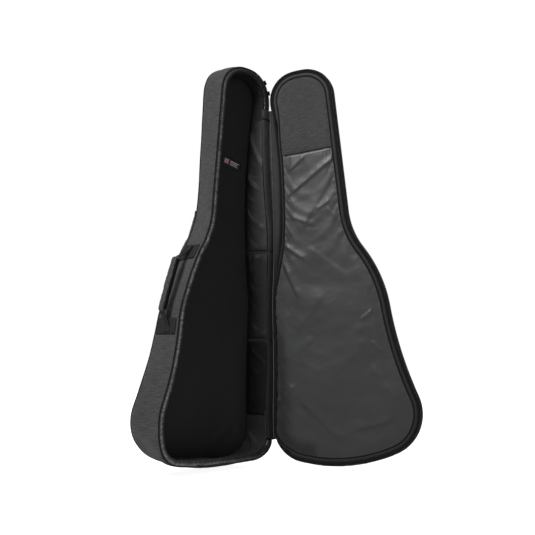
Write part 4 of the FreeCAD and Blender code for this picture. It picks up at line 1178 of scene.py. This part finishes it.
angle = np.arange(GRIP_SIDES) / GRIP_SIDES * 2 * math.pi
wrinkle = (0.5 * fractal(grip_z[:, None] / 16, angle * 1.5, 97)
           + 0.45 * noise(grip_z[:, None] / 5, angle * 0.8, 99) * np.exp(-grip_end * 2))
flap = 0.9 * ease((angle - 0.55) / 0.12) * ease((3.9 - angle) / 0.2)
ob = grid("grip_sleeve", grip_point(angle, wrinkle + flap * 0.7, wrinkle + flap * 0.6),
          grip_z / 1000, np.append(angle * 0.012, 0.075), M_HEATHER)
pins = np.concatenate([np.arange(GRIP_SIDES * 3),
                       np.arange(GRIP_SIDES * (GRIP_ROWS - 3), GRIP_SIDES * GRIP_ROWS)])
cloth(ob, pins, pressure=3.0, shrink=-0.02, cap=0.0018, bending=0.3)
register(ob, "carry_handle", "heather_fabric", "handle_grip")

angle = np.linspace(0.98, 2.35, CLOSURE_COLUMNS)
column = np.arange(CLOSURE_COLUMNS)
tuck = 1.5 * np.sqrt(np.clip(np.minimum(column, CLOSURE_COLUMNS - 1 - column) / 2.0, 0, 1)) - 0.6
lift = 0.35 * fractal(grip_z[:, None] / 14, angle * 1.5, 197) + tuck + 0.9
ob = grid("grip_closure", grip_point(angle, lift, lift)[3:-3], grip_z[3:-3] / 1000,
          np.linspace(0, 0.02, CLOSURE_COLUMNS), M_CLOSURE_AND_PAINTED_SHADE)
thicken(ob, 0.0012, offset=0)
register(ob, "carry_handle", "dark_webbing")
ob = stitches("grip_stitch", handle_point(GRIP_X + 8.0 + grip_bow[6:-6], -1.0, grip_z[6:-6]),
              HANDLE_OUT, M_THREAD_DARK, lift=0.0012)
register(ob, "carry_handle", "heather_fabric")

# ---- lid shell --------------------------------------------------------------------------------
# Inset of the lid's black binding up the hinge side; elsewhere it is BINDING_INSET.
BINDING_V = [40, 110, 480, 511, 538, 564, 591, 617, 685, 741, 908, 969, 1000]
BINDING_D = [19.6, 4.6, 4.6, 5.5, 8.0, 10.5, 13.5, 16.0, 16.0, 14.5, 14.5, 19.0, 19.6]
BINDING_INSET = 19.6


def binding_inset(u, v):
    return np.where(u > 0, np.interp(v, BINDING_V, BINDING_D), BINDING_INSET)


def lid_side_profile(s, u, v):
    t = np.linspace(0, 1, 12)[None]
    y = -19.3 + (19.3 - 5.4) * t
    inset = (-1.8 * np.sin(math.pi * t) ** 0.7 - 0.6 * fractal(s / 60, y / 20, 101)
             - 0.35 * noise(s / 9, y / 10, 103))
    return (np.hstack([0 * s + [3.6, 1.5, 0.5], inset, 0 * s + 0.7]),
            np.hstack([0 * s + [-20.9, -20.5, -19.9], y + 0 * s, 0 * s - 5.0]))


band("lid_side_cloth", "lid", CLOTH_LINE, lid_side_profile, M_HEATHER, "heather_fabric",
     "lid_side_band", flip=True)

uu, vv = plate(2.0, step=6, across=60)
gap = edge_distance(uu, vv, 2.0)
yy = -20.7 - 3.0 * ease(gap / 40) - fractal(uu / 90, vv / 90, 111) * ease(gap / 25)
sheet("lid_face_cloth", "lid", uu, yy, vv, 0.38, M_HEATHER, "heather_fabric",
      "lid_outer_fabric", "lid_foam")
edge_cord("lid_edge_piping", "lid", 0.9, lambda v: -20.2, 0.0021)


def lid_tape_profile(s, u, v):
    wave = 0.15 * noise(s / 12, 0, 121)
    return (np.array([[0.2, -0.3, 0.0, 0.8, 3.6, 6.5, 9.4, 9.4, 1.5]]) + 0 * s,
            np.array([[-5.4, -4.9, -3.9, -3.5, -3.35, -3.3, -3.4, -5.0, -5.4]]) + wave)


band("lid_tape", "lid", CLOTH_LINE, lid_tape_profile, M_TAPE, "zipper_tape",
     "lid_zipper_tape", "lid_hinge_tape", closed=True)
zip_teeth("lid_teeth", "lid", -3.3, -0.7, "lid_zipper_teeth")


def flange_profile(s, u, v):
    """Band between the zip tape and the binding, narrowed along the hinge side."""
    inner = binding_inset(u, v)
    near = ease((19.5 - inner) / 2.0)
    outer = np.minimum(9.8, inner - 2.2) * (1 - near) + np.maximum(inner - 5.6, 1.8) * near
    t = np.linspace(0, 1, 10)[None]
    y = (-3.9 + 1.3 * np.sin(math.pi * t) ** 0.6 + 0.22 * fractal(s / 18, t * 2, 131)
         + 0.18 * noise(s / 6, t, 133))
    return outer + (inner - 0.8 - outer) * t, y


band("lid_flange_band", "lid", CLOTH_LINE, flange_profile, M_FLANGE, "flange_cloth",
     "lid_flange", flip=True)


def binding_profile(s, u, v):
    inset = binding_inset(u, v)
    angle = np.linspace(0, math.pi, 9)[None]
    half = 2.6 + 0.4 * ease((19.5 - inset) / 2.0)
    y = (-4.6 + 2.0 * ease((14 - inset) / 6) + 2.3 * np.sin(angle) ** 0.7
         + 0.12 * noise(s / 5, 0, 143))
    return inset - half * np.cos(angle) + 0.15 * noise(s / 20, 0, 141), y


band("lid_binding_cord", "lid", CLOTH_LINE, binding_profile, M_BIND, "black_binding",
     "lid_binding", flip=True)

# ---- lid lining: loose satin below the seam, a pad above it -----------------------------------
SEAM_V = 862.0
LINING_Y = -3.9
LINING_FOLDS = [
    (82, 745, -97, 846, 3.0, 11, 3.4), (66, 815, 11, 850, 3.0, 9, 2.2),
    (2, 697, -41, 717, 3.5, 8, 1.8), (107, 614, 50, 566, 4.0, 10, 2.6),
    (116, 571, 83, 460, 4.0, 9, 2.2), (-113, 404, -76, 382, 3.0, 7, 2.0),
    (-126, 288, -101, 324, 3.0, 7, 1.8), (182, 184, 130, 232, 4.0, 9, 2.2),
    (-20, 92, -132, 106, 5.0, 14, 2.4), (122, 190, 15, 60, 6.0, 18, 2.0),
    (60, 640, -60, 790, 7.0, 22, 1.6), (100, 380, 10, 470, 8.0, 22, 1.4),
    (-60, 500, 40, 600, 9.0, 24, 1.2), (-150, 150, -90, 260, 6.0, 16, 1.5),
    (150, 300, 60, 350, 7.0, 18, 1.4), (20, 240, -90, 330, 9.0, 26, 1.3),
    (75, 690, 10, 655, 4.0, 10, 1.4), (-75, 640, -30, 700, 4.0, 9, 1.3),
]


def lining_height(u, v):
    gap, near = nearest(u, v, CLOTH_LINE.at(binding_inset(*CLOTH_LINE.p.T) + 1.4))
    s = CLOTH_LINE.s[near]
    edge = ease(gap / 14)
    height = (1.9 + 2.6 * fractal(u / 150, v / 85, 151)) * ease(gap / 30)
    height += 0.8 * fractal(u / 60, v / 38, 152) * edge
    height += 0.55 * noise(s / 8.5, gap / 40, 153) * np.exp(-gap / 12) * ease(gap / 3)
    height += 0.35 * fractal(u / 34, v / 48, 155) * edge
    return add_folds(height, u, v, LINING_FOLDS) * ease(gap / 5) * ease((SEAM_V - v) / 6)


def every_other(count):
    return np.unique(np.append(np.arange(0, count, 2), count - 1))


lining_u, lining_v = plate(binding_inset(*FINE_LINE.p.T) + 1.4, step=3.2, across=112, v1=SEAM_V)
lining_h = lining_height(lining_u, lining_v)
# a coarse copy of the sheet is simulated, and its movement carried to the fine one later
sim_rows, sim_columns = (every_other(count) for count in lining_u.shape)
coarse = np.ix_(sim_rows, sim_columns)
sim_rest = lid(lining_u[coarse], LINING_Y + 0.6 * lining_h[coarse], lining_v[coarse])
lining_sim = grid("lid_lining_sim", sim_rest, sim_rows, sim_columns)
cloth(lining_sim, border(sim_rest.shape, 1), shrink=-0.022, gravity=0.5, cap=0.006,
      bending=0.05, tension=10)

uu, vv = plate(binding_inset(*FINE_LINE.p.T) + 0.9, step=3.0, across=60, v0=SEAM_V - 1.5)
gap = edge_distance(uu, vv, binding_inset(*CLOTH_LINE.p.T) + 0.9)
soft = ease(np.minimum(gap, vv - SEAM_V + 2.0) / 9)
height = (1.2 + 1.5 * soft + 0.7 * soft * fractal(uu / 60, vv / 60, 161)
          + 0.3 * noise(uu / 8, vv / 30, 163) * (1 - soft))
edge = np.clip(np.minimum(gap, (vv - SEAM_V + 1.5) / 1.5), 0, 1)
sheet("head_pad_cloth", "lid", uu, -4.2 + height * edge, vv, 0.15, M_HEATHER_LID,
      "heather_fabric", "head_pad", flip=True)
left, right = outline_split(21.0)[0](SEAM_V)
seam_u = np.linspace(left + 2, right - 2, 60)
ob = tube("head_seam_cord", lid(seam_u, -3.0, SEAM_V - 1.0), 0.0014, M_BIND, sides=8)
register(ob, "lid", "black_binding")
ob = stitches("head_pad_stitch", lid(seam_u, -1.75, SEAM_V + 5.0), LID_STEP, M_THREAD_DARK)
register(ob, "lid", "heather_fabric")

# ---- hinge cloth: from inside the tray, over its edge, round the fold and onto the lid --------
HINGE_LINE = CLOSE_LINE.part(hinge_edge(CLOSE_LINE, HINGE_LOW + 1, HINGE_HIGH - 1))
hinge_s = HINGE_LINE.s
fine_s = FINE_LINE.s[nearest(*HINGE_LINE.p.T, FINE_LINE.p)[1]]
hinge_x, hinge_z = row_xz(*HINGE_LINE.p.T)
normal_x, normal_z = tilted(*HINGE_LINE.n.T)
QUILT_SEAMS = {"low": 340.0, "mid": 583.0, "high": 951.0}       # row heights
# Folds in row height and distance in from the tray's edge.
HINGE_FOLDS = [(812, 4, 800, -10, 6, 10, 1.2), (572, 6, 580, -8, 5, 8, 1.0)]
# Columns over the tray's edge, from inside outwards: inset, y.
EDGE_COLUMNS = [(20.6, 10.5), (21.0, 7.5), (20.4, 4.8), (18.4, 3.0), (15.0, 2.2),
                (11.0, 1.9), (7.0, 1.8), (4.0, 1.8), (1.5, 1.8)]
FOLD_STEPS = 15
FOLD_COLUMN = len(EDGE_COLUMNS) + FOLD_STEPS // 2

puff = np.ones_like(hinge_z)
for seam_z in QUILT_SEAMS.values():
    near = np.clip(np.abs(hinge_z - seam_z) / 12.0, 0, 1)
    puff *= np.sqrt(np.clip(1 - (1 - near) ** 2, 0.0, 1))
puff = 0.25 + 0.75 * puff


def hinge_point(inset, y, angle=0.0):
    if not angle:
        inset = inset - stand(fine_s, y, HINGE_LINE.p[:, 1])
    return to_world(hinge_x - inset * normal_x, y, hinge_z - inset * normal_z, angle)


def swell(inset):
    """Height of the quilting at a distance in from the tray's edge."""
    height = (puff * (0.9 + 0.7 * fractal(hinge_s / 45, inset / 12.0, 174))
              + 0.35 * noise(hinge_s / 9, inset / 9.0, 176))
    return add_folds(height, hinge_z, inset, HINGE_FOLDS)


def hinge_points():
    columns = []
    for inset, y in EDGE_COLUMNS:
        height = swell(inset)
        lift = 1.0 if inset < 16 else 0.4
        pull = 3.6 * (1 - puff) if inset > 18 else 0.0
        columns.append(hinge_point(inset - pull + (1.0 - lift) * 1.1 * height,
                                   y - lift * 1.5 * height))
    # a quadratic curve from the tray's edge to the lid's, pulled to the hinge axis
    start, end = hinge_point(0.0, 1.8), hinge_point(0.0, -1.6, OPEN)
    axis = to_world(0, 0, hinge_z)
    tray_normal = np.array([0, -1.0, 0])
    lid_normal = np.array([-math.sin(OPEN), math.cos(OPEN), 0])
    from_axis = np.abs(hinge_x)
    for t in np.linspace(0.06, 0.94, FOLD_STEPS):
        base = (1 - t) ** 2 * start + 2 * t * (1 - t) * axis + t ** 2 * end
        out = (1 - t) * tray_normal + t * lid_normal
        out = out / np.linalg.norm(out)
        height = swell(-from_axis * t) * (0.35 + 0.65 * ease((from_axis - 4) / 14))
        rise = 0.0013 * height * math.sin(math.pi * (0.15 + 0.7 * t))
        columns.append(base + rise[:, None] * out)
    columns.append(hinge_point(1.5, -2.2, OPEN))
    binding = binding_inset(*HINGE_LINE.p.T)
    columns.append(hinge_point(np.minimum(binding - 2.6, 4.4), -3.2, OPEN))
    P = np.stack(columns, 1)
    # crumple the fold along the line that halves the opening angle
    middle = math.pi + OPEN / 2
    halfway = np.array([math.cos(middle), math.sin(middle), 0])
    pinch = 1.6 * np.exp(-((hinge_z - 352) / 30) ** 2) * np.sin(hinge_z / 5.2)
    for j in range(P.shape[1]):
        weight = math.exp(-((j - (FOLD_COLUMN - 0.5)) / 1.6) ** 2)
        crumple = (0.2 + 0.4 * noise(hinge_s / 7.5, 0.4 * j, 175)
                   + 0.6 * noise(hinge_s / 19, 0.3 * j, 177) + pinch) * weight
        P[:, j] += (crumple / 1000.0)[:, None] * halfway
    P[:, 1:-1] = (P[:, :-2] + 2 * P[:, 1:-1] + P[:, 2:]) / 4
    return P


P = hinge_points()
ob = grid("hinge_cloth", P, hinge_s / 1000, np.linspace(0, 0.06, P.shape[1]), M_HINGE_PAINTED_LOW_SHADE, flip=True)
thicken(ob, 0.0008)
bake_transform(ob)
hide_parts("hinge_strip_tray", "hinge_strip_lid", "hinge_cord")

# Black lines let into the quilting, and the pale cord that lies in the fold, a painted highlight
# along the fold's edge
for seam, seam_z in QUILT_SEAMS.items():
    row = np.abs(hinge_z - seam_z).argmin()
    line = P[row, 1:FOLD_COLUMN - 1] + [-0.0004, -0.0009, 0.0]
    ob = tube("quilt_seam_" + seam, line, 0.0024 if seam == "high" else 0.0013, M_BIND, sides=8)
    register(ob, "tray", "black_binding")
fold = P[2:-2, FOLD_COLUMN] * 0.5 + P[2:-2, FOLD_COLUMN - 1] * 0.5 + [-0.0006, -0.0010, 0.0]
ob = tube("fold_cord_painted_highlight", fold, 0.0008, M_CORD_PAINTED_HIGHLIGHT, sides=8)
register(ob, "tray", "black_binding")


# ---- shoulder straps and small CAD pieces -----------------------------------------------------
def soft_copy(name, node, voxel=0.0045):
    """An evenly remeshed copy of a CAD piece."""
    mesh = NODES[node].data.copy()
    mesh.name = name
    ob = bpy.data.objects.new(name, mesh)
    scene.collection.objects.link(ob)
    mesh.materials.clear()
    mod = ob.modifiers.new("rm", "REMESH")
    mod.mode, mod.voxel_size, mod.use_smooth_shade = "VOXEL", voxel, True
    graph = bpy.context.evaluated_depsgraph_get()
    remeshed = bpy.data.meshes.new_from_object(ob.evaluated_get(graph))
    ob.modifiers.remove(mod)
    ob.data = remeshed
    remeshed.name = name
    return ob


def soften(ob):
    smooth = ob.modifiers.new("soft", "SMOOTH")
    smooth.iterations, smooth.factor = 6, 0.5
    subdivide = ob.modifiers.new("sub", "SUBSURF")
    subdivide.levels = subdivide.render_levels = 1
    smooth_faces(ob.data)


for side in ("left", "right"):
    ob = soft_copy("strap_pad_" + side, "shoulder_strap_" + side)
    ob.data.materials.append(M_HEATHER_OBJ)
    cloth(ob, [], pressure=4.0, cap=0.004, bending=0.4, done=soften)
    register(ob, "strap_" + side, "heather_fabric", "shoulder_strap_" + side)

# CAD pieces kept as they are: names, material, then bevel width (m), segments and angle.
KEPT_PIECES = [
    (("strap_yoke_patch",), M_HEATHER_OBJ, 0.0008, 2, 35),
    (("hang_loop",), M_WEB_OBJ, 0.0008, 2, 35),
    (("strap_webbing_left", "strap_webbing_right"), M_WEB_OBJ, 0.0006, 2, 35),
    (("strap_tab_left", "strap_tab_right"), M_WEB_OBJ, 0.0008, 2, 35),
    (("ladder_lock_left", "ladder_lock_right"), M_PLASTIC, 0.0011, 3, 35),
    (("zip_slider_upper", "zip_slider_lower", "zip_pull_upper", "zip_pull_lower",
      "pocket_slider", "pocket_pull"), M_METAL, 0.0005, 2, 40),
    (("pocket_zipper",), M_TAPE, 0.0004, 2, 35),
]
for names, mat, *edge in KEPT_PIECES:
    for name in names:
        ob = NODES[name]
        ob.data.materials.clear()
        ob.data.materials.append(mat)
        bevel(ob, *edge)

# ---- pocket on the lid's outer face -----------------------------------------------------------
POCKET_INSET, POCKET_TOP = 44.0, 560.0
POCKET_FOOT_Y, POCKET_FACE_Y = -21.0, -43.0
uu, vv = plate(POCKET_INSET, step=6, across=56, v1=POCKET_TOP)
gap = np.minimum(edge_distance(uu, vv, POCKET_INSET), POCKET_TOP - vv)
rounded = np.sqrt(np.clip(1 - (1 - np.clip(gap / 12.0, 0, 1)) ** 2, 0, 1))
yy = (POCKET_FOOT_Y + (POCKET_FACE_Y - POCKET_FOOT_Y + 1.0) * (0.10 + 0.90 * rounded)
      - 2.0 * ease(gap / 60) - 1.2 * fractal(uu / 70, vv / 70, 181) * ease(gap / 30))
ob = grid("pocket_cloth", lid(uu, yy, vv), vv[:, 0] / 1000, np.linspace(0, 0.3, uu.shape[1]),
          M_HEATHER)
cloth(ob, border(uu.shape, 1), shrink=-0.012, gravity=0.4, cap=0.003, bending=0.3)
register(ob, "lid", "heather_fabric", "pocket_front", "pocket_gusset")

run_cloths(20)


# ---- lid lining, after the simulation ---------------------------------------------------------
def lining_movement():
    """Simulated movement along the lid's y, in mm, spread over the fine sheet."""
    moved = read_points(lining_sim.data).reshape(sim_rest.shape)
    move = ((moved - sim_rest) @ (LID_STEP / np.linalg.norm(LID_STEP))) * 1000.0
    rows, columns = (np.arange(count) for count in lining_u.shape)
    tall = np.stack([np.interp(rows, sim_rows, column) for column in move.T], 1)
    bpy.data.objects.remove(lining_sim)
    return np.stack([np.interp(columns, sim_columns, row) for row in tall], 0)


uu, vv = lining_u, lining_v
gap = edge_distance(uu, vv, 0.0)
# the lining rises to the binding where that runs close to the hinge edge
rise = np.where(uu > 0, ease((14 - np.interp(vv, BINDING_V, BINDING_D)) / 6), 0.0)
yy = (LINING_Y + lining_h + (0.08 + 0.14 * ease((vv - 520) / 160)) * lining_movement()
      + 1.3 * rise * np.exp(-np.clip(gap, 0, 60) / 9.0))
ob = grid("lid_lining_cloth", lid(uu, yy, vv), vv[:, 0] / 1000,
          np.linspace(0, 0.36, uu.shape[1]), M_LID, flip=True)
# painted shadow: the lining is darkened beside the lower part of the hinge, where the tray's body
# shades it
reach = (np.interp(vv, [0, 60, 180, 330, 470, 560], [46, 52, 46, 26, 9, 0])
         + 7.0 * fractal(uu / 70, vv / 60, 193))
painted_tray_shadow = np.where((uu > 95) | (vv > 60), ease((reach - gap) / 42.0 + 0.5), 0.0)
painted_tray_shadow = painted_tray_shadow * ease((uu - 60) / 60.0) * ease((570 - vv) / 90.0)
shade = ob.data.attributes.new("shade", "FLOAT", "POINT")
shade.data.foreach_set("value", np.ascontiguousarray(painted_tray_shadow.reshape(-1), dtype=np.float32))
register(ob, "lid", "lid_satin", "lid_lining")

# ---- floor and world --------------------------------------------------------------------------
bpy.ops.mesh.primitive_plane_add(size=40, location=(0, 0, -0.0015))
floor = bpy.context.object
floor.name = "floor"
# pale paper that also glows, for the camera only
sh = Shader("floor_paper", "Object")
sh.colour((0.62, 0.62, 0.62), sh.remap(sh.noise((3, 3, 3)), MIDDLE, (0.99, 1.01)))
camera_ray = sh.add("LightPath").outputs["Is Camera Ray"]
sh.set({"Roughness": 0.9, "Specular IOR Level": 0.0, "Emission Color": (1, 1, 1, 1),
        "Emission Strength": sh.times(camera_ray, 0.93)})
floor.data.materials.append(sh.material)

# White to the camera, dim as a light
WORLD_LIGHT, WORLD_SEEN = 0.17, 1.0
world = bpy.data.worlds.new("studio")
scene.world = world
world.use_nodes = True
tree = world.node_tree
background = tree.nodes["Background"]
background.inputs[0].default_value = (1, 1, 1, 1)
light_path = tree.nodes.new("ShaderNodeLightPath")
level = tree.nodes.new("ShaderNodeMapRange")
level.inputs["To Min"].default_value = WORLD_LIGHT
level.inputs["To Max"].default_value = WORLD_SEEN
tree.links.new(light_path.outputs["Is Camera Ray"], level.inputs["Value"])
tree.links.new(level.outputs[0], background.inputs[1])


# ---- lights, camera ---------------------------------------------------------------------------
def area(name, location, target, size, power):
    """Square area light aimed at a target; metres and watts."""
    data = bpy.data.lights.new(name, "AREA")
    data.shape, data.size, data.size_y, data.energy = "RECTANGLE", size, size, power
    ob = bpy.data.objects.new(name, data)
    scene.collection.objects.link(ob)
    ob.location = location
    aim = Vector(target) - Vector(location)
    ob.rotation_euler = aim.to_track_quat("-Z", "Y").to_euler()


area("key", location=(-2.1, -0.30, 2.3), target=(0, 0, 0.6), size=0.8, power=84)
area("back", location=(2.4, 2.2, 2.2), target=(0, 0, 0.5), size=1.2, power=75)
area("fill", location=(-0.9, -2.9, 1.5), target=(0, 0, 0.6), size=1.6, power=7)

CAMERA_FROM_HINGE = (-2216.9, -2212.8, 378.65)      # mm
CAMERA_YAW, CAMERA_PITCH, CAMERA_ROLL = 0.7828, 0.0516, -0.0114     # radians, yaw from +y to +x
CAMERA_LENS, CAMERA_SENSOR = 76.359028, 36.0        # mm

camera_data = bpy.data.cameras.new("camera")
camera = bpy.data.objects.new("camera", camera_data)
scene.collection.objects.link(camera)
forward = Vector((math.sin(CAMERA_YAW) * math.cos(CAMERA_PITCH),
                  math.cos(CAMERA_YAW) * math.cos(CAMERA_PITCH), math.sin(CAMERA_PITCH)))
level_right = Vector((math.cos(CAMERA_YAW), -math.sin(CAMERA_YAW), 0))
level_up = level_right.cross(forward)
right = math.cos(CAMERA_ROLL) * level_right + math.sin(CAMERA_ROLL) * level_up
up = -math.sin(CAMERA_ROLL) * level_right + math.cos(CAMERA_ROLL) * level_up
x, y, z = CAMERA_FROM_HINGE
place = Matrix.Translation(Vector((x + HINGE_X, y + HINGE_Y, z)) / 1000)
camera.matrix_world = place @ Matrix((right, up, -forward)).transposed().to_4x4()
camera_data.sensor_width = CAMERA_SENSOR
camera_data.lens = CAMERA_LENS
camera_data.clip_start, camera_data.clip_end = 0.05, 60
scene.camera = camera
scene.view_settings.view_transform = "Standard"
scene.view_settings.look = "None"
scene.view_settings.exposure = 0.0
